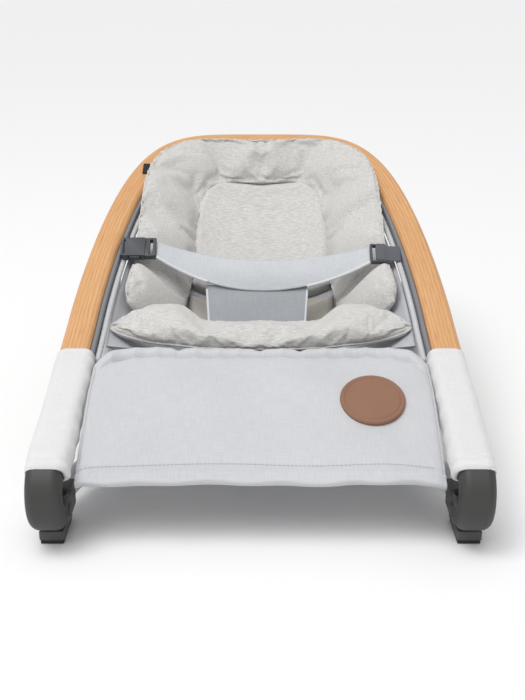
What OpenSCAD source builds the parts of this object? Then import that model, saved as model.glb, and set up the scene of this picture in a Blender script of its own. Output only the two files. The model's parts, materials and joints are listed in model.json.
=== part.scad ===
// Baby bouncer seat: a bent wood-look arch carries a padded sling, and folds on a low tube base.
// All sizes in millimetres. +Z is up, +Y runs from the feet end to the head end.

/* [Overall] */
// Half width to the middle of the rails at the feet end
rail_half_width = 215.5; // [205:0.5:225]
// Height of the rail middle above the floor at the feet end
rail_front_height = 89; // [84:0.5:94]
// Upward slope of the rails at the feet end
rail_slope = 0.2217; // [0.2:0.0001:0.24]
// Upward curve of the rails
rail_curve = 0.00017; // [0.00015:0.00001:0.0002]

/* [Wood arch] */
// Width of the wood rail seen from above
wood_width = 35; // [30:0.5:38]
// Thickness of the wood rail
wood_thickness = 24; // [20:0.5:26]
// Distance along the seat where the rails start to draw together
arch_start = 230; // [220:1:240]
// Reach of the head of the arch beyond that
arch_reach = 398; // [392:1:404]
// How early the rails draw together, 2 is an ellipse
arch_bend = 1.7; // [1.65:0.01:1.75]
// Squareness of the head, 2 is an ellipse
arch_power = 5; // [4.8:0.05:5.2]

/* [Hinge] */
// Distance of the seat hinge behind the front foot
hinge_y = 8; // [4:0.5:12]
// Height of the seat hinge
hinge_z = 34; // [32:0.5:36]
// Diameter of the hinge pins
pin_diameter = 8; // [6:0.5:10]

/* [Base] */
// Outside diameter of the base tubes
runner_diameter = 28; // [24:0.5:30]
// Wall of the base tubes
runner_wall = 2; // [1.5:0.1:3]
// Half distance between the base tubes
runner_half_width = 168; // [160:0.5:172]
// Distance of the rear cross tube from the front foot
rear_bar_y = 575; // [560:1:590]

/* [Legs] */
// Length of each leg between its pins, equal to the hinge to hinge distance
leg_length = 275; // [265:1:285]
// Diameter of the leg tubes
leg_diameter = 16; // [14:0.5:18]
// Half distance between the legs
leg_half_width = 200; // [198:0.5:202]
// Angle between the floor and the line from seat hinge to leg top
rest_angle = 19.2; // [19:0.1:19.5]

/* [Soft goods] */
// Thickness of the sling fabric
sling_thickness = 3; // [2:0.5:4]
// Depth of the sling at its lowest point
sling_depth = 106; // [95:1:110]
// Thickness of the quilted front panel
panel_thickness = 14; // [10:0.5:16]
// Thickness of the thick surround of the newborn insert
surround_height = 28; // [24:1:32]

/* [Hidden] */
y_mid = 303.1;
wood_corner = 8;
front_y = -10;
taper = 9.5;
taper_length = 428;
arch_half = rail_half_width - taper * pow((arch_start - front_y) / taper_length, 2);
elbow_radius = 29;
elbow_width = 36;
elbow_depth = 28;
elbow_y = 3;
elbow_z = 62;
elbow_stop = 102.5;
barrel = 12;
trim_width = 5;
trim_height = 14;
foot_z = 15.5;
slot_x = 183;
slot_plate = 5;
leg_hinge_y = hinge_y + leg_length;
arch_steps = 64;
fine = 64;

// ---- helpers -------------------------------------------------------------------------

// Skin over equal rings of points; a loop has its last ring joined to its first.
module skin(rings, loop = false) {
    n = len(rings);
    m = len(rings[0]);
    last = loop ? n : n - 1;
    sides = [for (i = [0:last - 1], j = [0:m - 1])
        each [[i * m + j, ((i + 1) % n) * m + j, ((i + 1) % n) * m + (j + 1) % m],
              [i * m + j, ((i + 1) % n) * m + (j + 1) % m, i * m + (j + 1) % m]]];
    e = (n - 1) * m;
    caps = loop ? [] : [for (j = [0:m / 2 - 2])
        each [[j, j + 1, m - 1 - j], [j + 1, m - 2 - j, m - 1 - j],
              [e + j, e + m - 1 - j, e + j + 1], [e + j + 1, e + m - 1 - j, e + m - 2 - j]]];
    polyhedron(points = [for (r = rings) each r], faces = concat(sides, caps), convexity = 8);
}

function unit(v) = v / norm(v);
function sgn_pow(c, p) = sign(c) * pow(abs(c), p);

// Height of the rail middle at a distance from the front foot.
function rail_z(y) = rail_front_height + rail_slope * (y - front_y)
    + rail_curve * pow(y - front_y, 2);

// Half width to the middle of the straight part of a rail.
function rail_x(y) = rail_half_width - taper * pow((y - front_y) / taper_length, 2);

// Half width of the head of the arch, or of a line a distance inside it.
function head_x(y, inset) = (arch_half - inset)
    * pow(max(0, 1 - pow((y - arch_start) / (arch_reach - inset), arch_bend)), 1 / arch_power);

// Point of the arch middle: t runs from 0 at one front end to 1 at the other.
function arch_point(t, first) =
    let (a = abs(2 * t - 1),
         side = t < 0.5 ? -1 : 1,
         straight = 0.25,
         f = (1 - a) / straight,
         ang = 90 * (1 - pow(a / (1 - straight), 1.8)),
         y = a > 1 - straight ? first + (arch_start - first) * f
             : arch_start + arch_reach * sgn_pow(sin(ang), 2 / arch_bend),
         x = a > 1 - straight ? rail_x(y) : arch_half * sgn_pow(cos(ang), 2 / arch_power))
    [side * x, y, rail_z(y)];

// Axes across and above the arch at one of its points.
function arch_frame(t, first) =
    let (d = 0.004,
         p0 = arch_point(max(0, t - d), first),
         p1 = arch_point(min(1, t + d), first),
         p = arch_point(t, first),
         along = unit(p1 - p0),
         slope = rail_slope + 2 * rail_curve * (p[1] - front_y),
         up0 = unit([0, -slope, 1]),
         side = unit(cross(along, up0)),
         up = cross(side, along))
    [p, side, up];

// Rounded rectangle, w by h, with its points evenly spread round each corner.
function round_rect(w, h, r, steps = 5) =
    [for (q = [0:3], k = [0:steps])
        let (a = 90 * q + 90 * k / steps,
             sx = (q == 0 || q == 3) ? 1 : -1,
             sy = q < 2 ? 1 : -1)
        [sx * (w / 2 - r) + r * cos(a), sy * (h / 2 - r) + r * sin(a)]];

// A section carried round the arch, moved outward and up by the given amounts.
function arch_rings(section, first, t0, t1, steps, outward = 0, lift = 0) =
    [for (i = [0:steps])
        let (t = t0 + (t1 - t0) * i / steps, fr = arch_frame(t, first))
        [for (q = section) fr[0] - fr[1] * (q[0] + outward) + fr[2] * (q[1] + lift)]];

// Smooth curve through a short table of [distance, value] rows.
function smooth(tbl, x, i = 0) =
    i >= len(tbl) - 2 || x <= tbl[i + 1][0]
    ? let (a = tbl[i], b = tbl[i + 1],
           before = tbl[max(0, i - 1)], after = tbl[min(len(tbl) - 1, i + 2)],
           h = b[0] - a[0],
           f = min(1, max(0, (x - a[0]) / h)),
           m0 = (b[1] - before[1]) / (b[0] - before[0]) * h,
           m1 = (after[1] - a[1]) / (after[0] - a[0]) * h)
      (2 * pow(f, 3) - 3 * f * f + 1) * a[1] + (pow(f, 3) - 2 * f * f + f) * m0
      + (3 * f * f - 2 * pow(f, 3)) * b[1] + (pow(f, 3) - f * f) * m1
    : smooth(tbl, x, i + 1);

// Depth of the sling below the rails along its middle.
sag_rows = [[206, 0.2], [250, 0.66], [300, 1], [350, 0.98], [410, 0.87], [455, 0.7],
    [555, 0.38], [598, 0.04]];
edge_inset = wood_width / 2 + trim_width + 9;
function sling_edge(y) = y < arch_start ? rail_x(y) - edge_inset : head_x(y, edge_inset);
function sag(y) = sling_depth * smooth(sag_rows, y);
wall_power = 2.8;

// Sling surface: x across, y along, measured on the plan.
function sling_at(x, y) =
    [x, y, rail_z(y) - 5 - sag(y)
        * (1 - pow(min(1, abs(x) / max(20, sling_edge(y))), wall_power))];

function sling_normal(x, y) =
    let (d = 0.5)
    unit(cross(sling_at(x + d, y) - sling_at(x - d, y), sling_at(x, y + d) - sling_at(x, y - d)));

// Point above the sling by a height measured square to it.
function on_sling(x, y, h) = sling_at(x, y) + h * sling_normal(x, y);

module both(side) {
    if (side > 0) children();
    else mirror([1, 0, 0]) children();
}

// Cylinder lying across the seat.
module across(d, w) {
    rotate([0, 90, 0]) cylinder(d = d, h = w, center = true, $fn = fine);
}

module place() {
    translate([0, -y_mid, 0]) children();
}

// ---- wood arch and its edge ------------------------------------------------------------

wood_first = 10.6;
module wood_arch() color("BurlyWood") place()
    skin(arch_rings(round_rect(wood_width, wood_thickness, wood_corner), wood_first,
        0, 1, arch_steps));

trim_t0 = 0.0968;
edge_gap = 0.5;
module trim_rail() color("DimGray") place()
    skin(arch_rings(round_rect(trim_width, trim_height, 2, 3), wood_first, trim_t0, 1 - trim_t0,
        arch_steps, -(wood_width + trim_width) / 2 - edge_gap, 1));

// Cord edge of the fabric, held in the trim.
piping_diameter = 7;
module edge_piping() color("Gainsboro") place()
    skin(arch_rings(round_rect(piping_diameter, piping_diameter + 1, 3.4, 3), wood_first,
        trim_t0, 1 - trim_t0, arch_steps,
        -wood_width / 2 - trim_width - piping_diameter / 2 - 2 * edge_gap, -1));

// ---- elbows and seat hinge -------------------------------------------------------------

module rounded_bar(w, h, r) {
    square([w - 2 * r, h], center = true);
    square([w, h - 2 * r], center = true);
    for (sx = [-1, 1], sy = [-1, 1])
        translate([sx * (w / 2 - r), sy * (h / 2 - r)]) circle(r = r, $fn = 32);
}

// Bend from the rail end down to the hinge barrel, with a spigot that plugs into the rail.
elbow_start = atan2(hinge_z - elbow_z, hinge_y - elbow_y) + 360;
collar = 14;
module elbow() {
    difference() {
        union() {
            translate([rail_half_width, elbow_y, elbow_z])
                rotate([90, 0, 90])
                    rotate([0, 0, elbow_stop])
                        rotate_extrude(angle = elbow_start - elbow_stop - 4, $fn = 96)
                            translate([elbow_radius, 0])
                                rotate(90) rounded_bar(elbow_width, elbow_depth, 10);
            translate([rail_half_width, elbow_y + elbow_radius * cos(elbow_stop),
                elbow_z + elbow_radius * sin(elbow_stop)])
                rotate([elbow_stop - 90, 0, 0]) translate([0, collar / 2 - 0.5, 0])
                    rotate([90, 0, 0])
                        linear_extrude(collar, center = true)
                            rounded_bar(elbow_width, elbow_depth - 1, 9);
            translate([rail_half_width, hinge_y, hinge_z]) across(elbow_depth, 2 * barrel);
        }
        translate([rail_half_width, hinge_y, hinge_z])
            across(pin_diameter + 0.6, elbow_width + 10);
        for (s = [-1, 1]) translate([rail_half_width + s * (barrel + 5), hinge_y, hinge_z])
            across(2 * cheek_radius + 3, 10);
    }
}
module elbow_left() color("DimGray") place() both(-1) elbow();
module elbow_right() color("DimGray") place() both(1) elbow();

module hinge_pin() translate([rail_half_width, hinge_y, hinge_z]) {
    across(pin_diameter, elbow_width - 2);
    for (s = [-1, 1]) translate([s * (elbow_width / 2 + 0.5), 0, 0])
        across(pin_diameter + 5, 2.6);
}
module hinge_pin_left() color("Silver") place() both(-1) hinge_pin();
module hinge_pin_right() color("Silver") place() both(1) hinge_pin();

// Fork at the front of each base tube; it carries the hinge pin and the flip foot.
cheek_radius = 14.5;
cheek_inner = barrel + 0.8;
cheek_outer = elbow_width / 2 - 0.8;
fork_y = 27;
fork_depth = 22;
module clevis() {
    difference() {
        union() {
            for (s = [-1, 1]) {
                translate([rail_half_width + s * (cheek_inner + cheek_outer) / 2, 0, 0]) {
                    translate([0, hinge_y, hinge_z])
                        across(2 * cheek_radius, cheek_outer - cheek_inner);
                    translate([-(cheek_outer - cheek_inner) / 2, hinge_y, hinge_z - cheek_radius])
                        cube([cheek_outer - cheek_inner, fork_y - hinge_y + 4, 26]);
                }
            }
            translate([rail_half_width - cheek_outer, fork_y, hinge_z - cheek_radius])
                cube([2 * cheek_outer, fork_depth, 2 * cheek_radius]);
        }
        translate([rail_half_width, hinge_y, hinge_z]) across(pin_diameter + 0.2, 60);
    }
}
module clevis_left() color("DimGray") place() both(-1) clevis();
module clevis_right() color("DimGray") place() both(1) clevis();

// ---- base ----------------------------------------------------------------------------

// Middle of a base tube: it leaves the fork, draws inward and runs straight to the rear bar.
runner_first = fork_y + fork_depth + 0.1;
runner_turn = 165;
function runner_x(y) =
    let (f = min(1, max(0, (y - runner_first) / (runner_turn - runner_first))))
    rail_half_width - 4 + (runner_half_width - rail_half_width + 4) * f * f * (3 - 2 * f);

module runner() {
    last = rear_bar_y - joint_size / 2;
    ys = [for (i = [0:14]) runner_first + (runner_turn - runner_first) * i / 14, last];
    function ring(y, r) = [for (k = [0:31])
        [runner_x(y) - r * cos(k * 360 / 32), y, hinge_z + r * sin(k * 360 / 32)]];
    skin(concat(
        [for (i = [0:15]) ring(ys[i], runner_diameter / 2)],
        [for (i = [15:-1:0]) ring(ys[i], runner_diameter / 2 - runner_wall)]), loop = true);
}
module runner_left() color("Silver") place() both(-1) runner();
module runner_right() color("Silver") place() both(1) runner();

module rear_bar() color("Silver") place()
    translate([0, rear_bar_y, hinge_z])
        difference() {
            across(runner_diameter, 2 * (runner_half_width - 20));
            across(runner_diameter - 2 * runner_wall, 2 * runner_half_width);
        }

// Corner joint between base tube and rear bar.
joint_size = 40;
joint_height = 30;
module rear_joint() translate([runner_half_width, rear_bar_y, hinge_z])
    linear_extrude(joint_height, center = true) {
        translate([-joint_size / 4, -joint_size / 4]) square(joint_size / 2 - 0.2, center = true);
        circle(d = joint_size - 0.4, $fn = fine);
    }
module rear_joint_left() color("DimGray") place() both(-1) rear_joint();
module rear_joint_right() color("DimGray") place() both(1) rear_joint();

rear_pad_height = hinge_z - joint_height / 2;
module rear_pad() translate([runner_half_width, rear_bar_y, 0]) {
    cylinder(d1 = 28, d2 = 31, h = rear_pad_height - 0.1, $fn = fine);
}
module rear_pad_left() color("DarkSlateGray") place() both(-1) rear_pad();
module rear_pad_right() color("DarkSlateGray") place() both(1) rear_pad();

// Foot block under each fork, with a rubber sole.
foot_width = 26;
foot_front = -5;
foot_back = 46;
sole = 4;
module foot() translate([rail_half_width - foot_width / 2, 0, 0]) {
    translate([0, foot_front, sole + 0.05])
        cube([foot_width, foot_back - foot_front, foot_z - sole - 0.05]);
    translate([0, fork_y, foot_z - 0.5])
        cube([foot_width, foot_back - fork_y, hinge_z - cheek_radius - foot_z + 0.45]);
}
module foot_left() color("DimGray") place() both(-1) foot();
module foot_right() color("DimGray") place() both(1) foot();
module sole_pad() translate([rail_half_width - foot_width / 2 + 1, foot_front + 1, 0])
    cube([foot_width - 2, foot_back - foot_front - 2, sole]);
module sole_left() color("DarkSlateGray") place() both(-1) sole_pad();
module sole_right() color("DarkSlateGray") place() both(1) sole_pad();

// ---- legs --------------------------------------------------------------------------------

// Lug on the base tube that carries the lower pin of a leg.
lug_outer = 189;
lug_thickness = 6;
module lug() translate([0, leg_hinge_y, hinge_z]) difference() {
    union() {
        translate([lug_outer - lug_thickness / 2, 0, 0]) across(22, lug_thickness);
        translate([runner_half_width, -11, -11]) cube([lug_outer - runner_half_width - 0.5, 22, 22]);
    }
    translate([runner_half_width, 0, 0]) rotate([90, 0, 0])
        cylinder(d = runner_diameter + 0.2, h = 60, center = true, $fn = fine);
    translate([lug_outer - 6, 0, 0]) across(pin_diameter, 14);
}
module lug_left() color("DimGray") place() both(-1) lug();
module lug_right() color("DimGray") place() both(1) lug();
module lug_pin() translate([0, leg_hinge_y, hinge_z]) {
    translate([(lug_outer - 5 + leg_half_width + 9) / 2, 0, 0])
        across(pin_diameter, leg_half_width + 9 - lug_outer + 5);
    translate([leg_half_width + 9.6, 0, 0]) across(pin_diameter + 5, 2);
}
module lug_pin_left() color("Silver") place() both(-1) lug_pin();
module lug_pin_right() color("Silver") place() both(1) lug_pin();

// Leg: a tube with an eye at each end, turned up to its rest angle about the lower pin.
eye_diameter = 20;
eye_thickness = 14;
leg_wall = 2;
module leg() translate([leg_half_width, leg_hinge_y, hinge_z]) rotate([2 * rest_angle, 0, 0])
    difference() {
        union() {
            rotate([-90, 0, 0]) cylinder(d = leg_diameter, h = leg_length, $fn = fine);
            across(eye_diameter, eye_thickness);
            translate([0, leg_length, 0]) across(eye_diameter, eye_thickness);
        }
        across(pin_diameter + 0.6, 30);
        translate([0, leg_length, 0]) across(pin_diameter, 30);
        rotate([-90, 0, 0]) translate([0, 0, 3])
            cylinder(d = leg_diameter - 2 * leg_wall, h = leg_length - 6, $fn = fine);
    }
module leg_left() color("Silver") place() both(-1) leg();
module leg_right() color("Silver") place() both(1) leg();

slide_pin_inner = slot_x - 4;
module slide_pin() translate([0, leg_hinge_y, hinge_z]) rotate([2 * rest_angle, 0, 0])
    translate([0, leg_length, 0]) {
        translate([(slide_pin_inner + leg_half_width + 7) / 2, 0, 0])
            across(pin_diameter, leg_half_width + 7 - slide_pin_inner);
        translate([slide_pin_inner, 0, 0]) across(pin_diameter + 6, 3);
    }
module slide_pin_left() color("Silver") place() both(-1) slide_pin();
module slide_pin_right() color("Silver") place() both(1) slide_pin();

// Slotted plate under each rail; its slot points straight at the seat hinge.
slot_first = 462;
slot_last = 552;
slot_clear = 0.8;
bracket_first = 430;
bracket_last = 560;
module slot_plate_shape() {
    difference() {
        translate([hinge_y, hinge_z]) rotate(rest_angle) difference() {
            union() {
                translate([slot_first, 0]) circle(r = 11, $fn = fine);
                translate([slot_last, 0]) circle(r = 11, $fn = fine);
                translate([slot_first, -11]) square([slot_last - slot_first, 22]);
                translate([slot_first + 4, 0]) square([slot_last - slot_first - 8, 42]);
            }
            translate([slot_first, 0]) circle(d = pin_diameter + 2 * slot_clear, $fn = fine);
            translate([slot_last, 0]) circle(d = pin_diameter + 2 * slot_clear, $fn = fine);
            translate([slot_first, -pin_diameter / 2 - slot_clear])
                square([slot_last - slot_first, pin_diameter + 2 * slot_clear]);
        }
        polygon(concat([for (y = [bracket_first:10:bracket_last])
            [y, rail_z(y) - (wood_thickness / 2 + 0.3) / cos(atan(rail_slope
                + 2 * rail_curve * (y - front_y)))]], [[bracket_last, 400], [bracket_first, 400]]));
    }
}
module slot_bracket() translate([slot_x, 0, 0])
    rotate([90, 0, 90]) linear_extrude(slot_plate) slot_plate_shape();
module slot_bracket_left() color("DimGray") place() both(-1) slot_bracket();
module slot_bracket_right() color("DimGray") place() both(1) slot_bracket();

// ---- knee tube -----------------------------------------------------------------------------

knee_y = 190;
knee_z = 112;
knee_diameter = 20;
saddle = 24;
module knee_tube() color("Silver") place() translate([0, knee_y, knee_z])
    difference() {
        across(knee_diameter, 2 * rail_x(knee_y) + 16);
        across(knee_diameter - 2 * runner_wall, 500);
    }
module knee_saddle() {
    slope = atan(rail_slope + 2 * rail_curve * (knee_y - front_y));
    difference() {
        translate([rail_x(knee_y), knee_y, rail_z(knee_y)]) rotate([slope, 0, 0])
            translate([-saddle / 2, -saddle / 2 - 6, -wood_thickness / 2 - 26])
                cube([saddle, saddle, 25.6]);
        translate([0, knee_y, knee_z]) across(knee_diameter + 0.1, 500);
    }
}
module knee_saddle_left() color("DimGray") place() both(-1) knee_saddle();
module knee_saddle_right() color("DimGray") place() both(1) knee_saddle();

// ---- fabrics ---------------------------------------------------------------------------------

// Solid between two heights over a patch of the sling, narrowing as the width function says.
function slab_ring(y, w, low, high, n) =
    concat([for (i = [0:n]) on_sling(w * (2 * i / n - 1), y, high)],
           [for (i = [n:-1:0]) on_sling(w * (2 * i / n - 1), y, low)]);

sling_first = 207;
sling_last = 593;
module sling() color("LightGray") place()
    skin([for (i = [0:24])
        let (y = sling_first + (sling_last - sling_first) * i / 24)
        slab_ring(y, sling_edge(y), -sling_thickness, 0, 20)]);

// Quilted panel over the feet end, between the sleeves.
panel_rows = [[-6, 77], [0, 82], [50, 107], [100, 129], [150, 141], [180, 142], [198, 136]];
panel_half = 187.8;
panel_drop = 4;
panel_corner = 62;
panel_corner_y = 138;
panel_draw = 67;
function panel_side(y) = panel_half - panel_draw
    * (1 - sqrt(max(0, 1 - pow(max(0, y - panel_corner_y) / panel_corner, 2))));
module front_panel() color("Gainsboro") place()
    skin([for (i = [0:20])
        let (y = panel_rows[0][0] + (198 - panel_rows[0][0]) * i / 20,
             e = i == 0 || i == 20 ? 0.35 : 1,
             half = panel_side(y),
             z = smooth(panel_rows, y))
        concat([for (k = [0:14]) [half * (k / 7 - 1), y,
                    z - panel_thickness * (1 - e) / 2 - panel_drop * pow(k / 7 - 1, 4)]],
               [for (k = [14:-1:0]) [half * (k / 7 - 1), y,
                    z - panel_thickness * (1 + e) / 2 - panel_drop * pow(k / 7 - 1, 4) / 2]])]);

// Fabric tube drawn over the front end of each rail and the start of its elbow.
sleeve_last = 172;
sleeve_turn = 127;
sleeve_outer = round_rect(45, 34, 13, 5);
sleeve_inner = round_rect(37.6, 28.6, 10, 5);
module sleeve() {
    function section(y, shape, shift) = let (a = atan(rail_slope + 2 * rail_curve * (y - front_y)))
        [for (q = shape) [-rail_x(y) - q[0] + shift, y - q[1] * sin(a), rail_z(y) + q[1] * cos(a)]];
    function bend(angle, shape, shift) =
        [for (q = shape) [-rail_half_width - q[0] + shift,
            elbow_y + (elbow_radius + q[1]) * cos(angle),
            elbow_z + (elbow_radius + q[1]) * sin(angle)]];
    first = elbow_y + elbow_radius * cos(elbow_stop) + 2;
    n = 12;
    function rings(shape, shift) = concat(
        [for (i = [0:4]) bend(sleeve_turn + (elbow_stop - sleeve_turn) * i / 4, shape, shift)],
        [for (i = [0:n]) section(first + (sleeve_last - first) * i / n, shape, shift)]);
    inner = rings(sleeve_inner, 0);
    skin(concat(rings(sleeve_outer, 3), [for (i = [len(inner) - 1:-1:0]) inner[i]]), loop = true);
}
module sleeve_left() color("Gainsboro") place() sleeve();
module sleeve_right() color("Gainsboro") place() mirror([1, 0, 0]) sleeve();

// Round badge on the front panel, with a raised rim.
badge_diameter = 70;
badge_x = 120;
badge_y = 84;
badge_slope = atan((smooth(panel_rows, badge_y + 5) - smooth(panel_rows, badge_y - 5)) / 10);
module leather_badge() color("Sienna") place()
    translate([badge_x, badge_y, smooth(panel_rows, badge_y) + 0.5]) rotate([badge_slope, 0, 0]) {
        difference() {
            cylinder(d = badge_diameter, h = 2.6, $fn = 96);
            translate([0, 0, 2]) cylinder(d = badge_diameter - 8, h = 2, $fn = 96);
        }
    }

// U-shaped outline: t runs from -1 at the left tip through 0 at the head to 1 at the right tip.
pad_power = 4;
function u_point(t, tip, half, y0, y1, y2) =
    let (a = abs(t), side = t < 0 ? -1 : 1, f = min(1, (1 - a) / 0.5), s = 1 - 2 * a,
         ang = 90 * s * s * (3 - 2 * s))
    a > 0.5 ? [side * (half + (tip - half) * pow(1 - f, 2)), y0 + (y1 - y0) * f]
    : [side * half * sgn_pow(cos(ang), 2 / pad_power),
       y1 + (y2 - y1) * sgn_pow(sin(ang), 2 / pad_power)];

function ease(a, b, v) = let (f = min(1, max(0, (v - a) / (b - a)))) f * f * (3 - 2 * f);

// Thick padded surround of the insert: side wings below, a pillow over the head of the arch.
wing_inner = [134, 97, 300, 470, 577];
wing_outer = [177, 168, 294, 430, 600];
// How far the surround is pressed down under the buckle and the adjuster.
strap_dip = 16;
strap_dip_y = 370;
strap_dip_length = 34;
module insert_surround() color("LightGray") place()
    skin([for (i = [0:48])
        let (t = -0.999 + 1.998 * i / 48,
             pin = u_point(t, wing_inner[0], wing_inner[1], wing_inner[2], wing_inner[3],
                 wing_inner[4]),
             pout = u_point(t, wing_outer[0], wing_outer[1], wing_outer[2], wing_outer[3],
                 wing_outer[4]),
             low = on_sling(pin[0], pin[1], 4),
             head = ease(430, 500, pout[1]),
             dip = ease(1, 0, abs(pout[1] - strap_dip_y) / strap_dip_length)
                 * (t > 0 ? 1.2 : 1),
             high = [pout[0], pout[1], rail_z(pout[1]) + 3 + 18 * head - strap_dip * dip],
             mid = (low + high) / 2,
             across_pad = (high - low) / 2,
             along = unit([-across_pad[1], across_pad[0], 0]),
             up = unit(cross(across_pad, along)) * (surround_height / 2) * (1 - 0.3 * dip)
                 * ease(1.04, 0.9, abs(t)),
             upward = up[2] < 0 ? -up : up)
        [for (k = [0:15])
            let (a = 360 * k / 16)
            mid + across_pad * sgn_pow(cos(a), 0.8) + upward * (0.9 + sgn_pow(sin(a), 0.8))]]);

back_gap = 7;
function inset_half(y) = y < wing_inner[3] ? wing_inner[1] - back_gap
    : (wing_inner[1] - back_gap) * pow(max(0, 1 - pow((y - wing_inner[3])
        / (wing_inner[4] - back_gap - wing_inner[3]), pad_power)), 1 / pad_power);

module insert_back() color("LightGray") place()
    skin([for (i = [0:16]) let (y = 412 + (570 - 412) * ease(-0.6, 1, i / 16 * 0.9 + 0.1))
        slab_ring(y, inset_half(y), 1, 14, 10)]);

module seat_pad() color("DarkGray") place()
    skin([for (i = [0:10]) let (y = 286 + (408 - 286) * i / 10)
        slab_ring(y, 88, 1, 11, 10)]);

// Crescent cushion across the front of the seat, with a lobe under each thigh.
cushion_half = 180;
module seat_cushion() color("LightGray") place()
    skin([for (i = [0:36])
        let (x = cushion_half * sin(90 * (i / 18 - 1)) * 0.9995,
             f = abs(x) / cushion_half,
             end = sqrt(max(0, 1 - pow(f, 5))),
             lobe = ease(62, 104, abs(x)),
             front = 205 + 24 * f * f,
             rear = 262 + 32 * lobe - 54 * ease(0.7, 1, f),
             depth = (rear - front) / 2 * end + 0.6,
             height = (13 + 4 * lobe) * end + 0.4,
             yc = (rear + front) / 2,
             zc = 146 + 6 * lobe + 3 * pow(f, 6))
        [for (k = [0:17]) let (a = 360 * k / 18)
            [x, yc + depth * sgn_pow(cos(a), 0.8), zc + height * sgn_pow(sin(a), 0.8)]]]);

// T-shaped lap belt: a cross band between the buckles and a neck that runs down to the seat.
belt_half = 138;
belt_x = 3;
neck_x = -5;
belt_y = 372.5;
belt_z = 211.5;
belt_tilt = 34;
belt_thick = 4;
function belt_row(x) = let (f = pow(abs(x) / belt_half, 2))
    [[x, 375 + 8 * f, 195 + 23 * f], [x, 345 + 17 * f, 163 + 41 * f]];
// Drop of the right end of the belt, where its strap hangs lower.
right_drop = [0, -4, -6];
function drop(x) = right_drop * pow(max(0, x) / belt_half, 2);
module belt() color("LightGray") place() {
    skin([for (i = [0:18])
        let (r = belt_row(belt_half * (i / 9 - 1)), n = [0, -0.7, 0.7] * belt_thick / 2)
        [for (q = [r[0] - n, r[0] + n, r[1] + n, r[1] - n]) q + drop(q[0]) + [belt_x, 0, 0]]]);
    translate([neck_x, 0, 0]) skin([for (q = [[346, 164, 64], [330, 147, 62], [312, 130, 60],
                                              [298, 117, 59], [288, 106, 58]])
        [[q[2], q[0] + 1.4, q[1] - 1.4], [q[2], q[0] - 1.4, q[1] + 1.4],
         [-q[2], q[0] - 1.4, q[1] + 1.4], [-q[2], q[0] + 1.4, q[1] - 1.4]]]);
}

// ---- buckle ------------------------------------------------------------------------------------

module at_buckle() translate([belt_x, belt_y, belt_z]) rotate([belt_tilt, 0, 0]) children();

buckle_width = 30;
socket_thick = 10;
socket_outer = -182;
socket_inner = -153;
tongue_inner = -139;
window = 16;
module buckle_socket() color("DarkSlateGray") place() at_buckle()
    difference() {
        translate([socket_outer, -buckle_width / 2, -socket_thick / 2])
            cube([socket_inner - socket_outer, buckle_width, socket_thick]);
        translate([-175, -6, -3]) cube([30, 12, 6]);
        translate([-174, -20, -3.5]) cube([window, 40, 7]);
        translate([-181, -12, 1.5]) cube([2.5, 24, 10]);
    }

module buckle_tongue() color("DarkSlateGray") place() at_buckle() {
    difference() {
        translate([socket_inner + 0.3, -buckle_width / 2, -4])
            cube([tongue_inner - socket_inner - 0.3, buckle_width, 8]);
        translate([socket_inner + 6, -12.5, -10]) cube([4, 25, 20]);
    }
    translate([-173.5, -3, -2.5]) cube([22, 6, 5]);
}

module release_tab(side) color("DimGray") place() at_buckle()
    translate([-173, side > 0 ? 7.2 : -16.4, -3]) cube([window - 2, 9.2, 6]);
module release_tab_front() release_tab(-1);
module release_tab_back() release_tab(1);

module adjuster() color("DarkSlateGray") place() translate(right_drop) at_buckle()
    difference() {
        translate([belt_half + 0.5, -buckle_width / 2, -3]) cube([20, buckle_width, 6]);
        for (x = [3, 11]) translate([belt_half + 0.5 + x, -12.5, -8]) cube([4.5, 25, 16]);
    }

strap_width = 25;
module strap_left() color("DarkSlateGray") place() at_buckle()
    translate([socket_outer - 2.6, -strap_width / 2 + 1, 1]) cube([2.4, strap_width, 1.6]);
module strap_right() color("DarkSlateGray") place() translate(right_drop) at_buckle()
    translate([belt_half + 20.6, -strap_width / 2 + 1, 0]) cube([19, strap_width, 1.8]);

// Webbing tab that ties the head of the insert to the arch.
tie_x = -168;
tie_y = 550;
tie_slope = atan(rail_slope + 2 * rail_curve * (tie_y - front_y));
module head_strap() color("Black") place()
    translate([tie_x, tie_y, rail_z(tie_y) + (wood_thickness / 2 + 0.3) / cos(tie_slope)])
        rotate([tie_slope, 0, 0]) translate([-10, -12, 0]) cube([20, 24, 2]);

wood_arch();
trim_rail();
edge_piping();
elbow_left();
elbow_right();
hinge_pin_left();
hinge_pin_right();
clevis_left();
clevis_right();
runner_left();
runner_right();
foot_left();
foot_right();
sole_left();
sole_right();
rear_bar();
rear_joint_left();
rear_joint_right();
rear_pad_left();
rear_pad_right();
lug_left();
lug_right();
lug_pin_left();
lug_pin_right();
leg_left();
leg_right();
slide_pin_left();
slide_pin_right();
slot_bracket_left();
slot_bracket_right();
knee_tube();
knee_saddle_left();
knee_saddle_right();
sling();
front_panel();
sleeve_left();
sleeve_right();
leather_badge();
insert_surround();
insert_back();
seat_pad();
seat_cushion();
belt();
buckle_tongue();
buckle_socket();
release_tab_front();
release_tab_back();
strap_left();
strap_right();
adjuster();
head_strap();
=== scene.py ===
# %% [markdown]
# # A folding baby bouncer seat
# The seat is a bent wooden arch that carries a fabric sling, with a quilted front panel, a newborn
# insert, a lap belt and a folding tube base. The base, hinges and legs come from the CAD frame. The
# wood, the fabrics, the padding and the buckle are made here.
# Every shape below is worked out in millimetres from the front foot, as on a drawing, and turns into
# metres in the frame's own place when it is put into a mesh.

# %% Load the frame and keep its size
import json
import math

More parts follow.
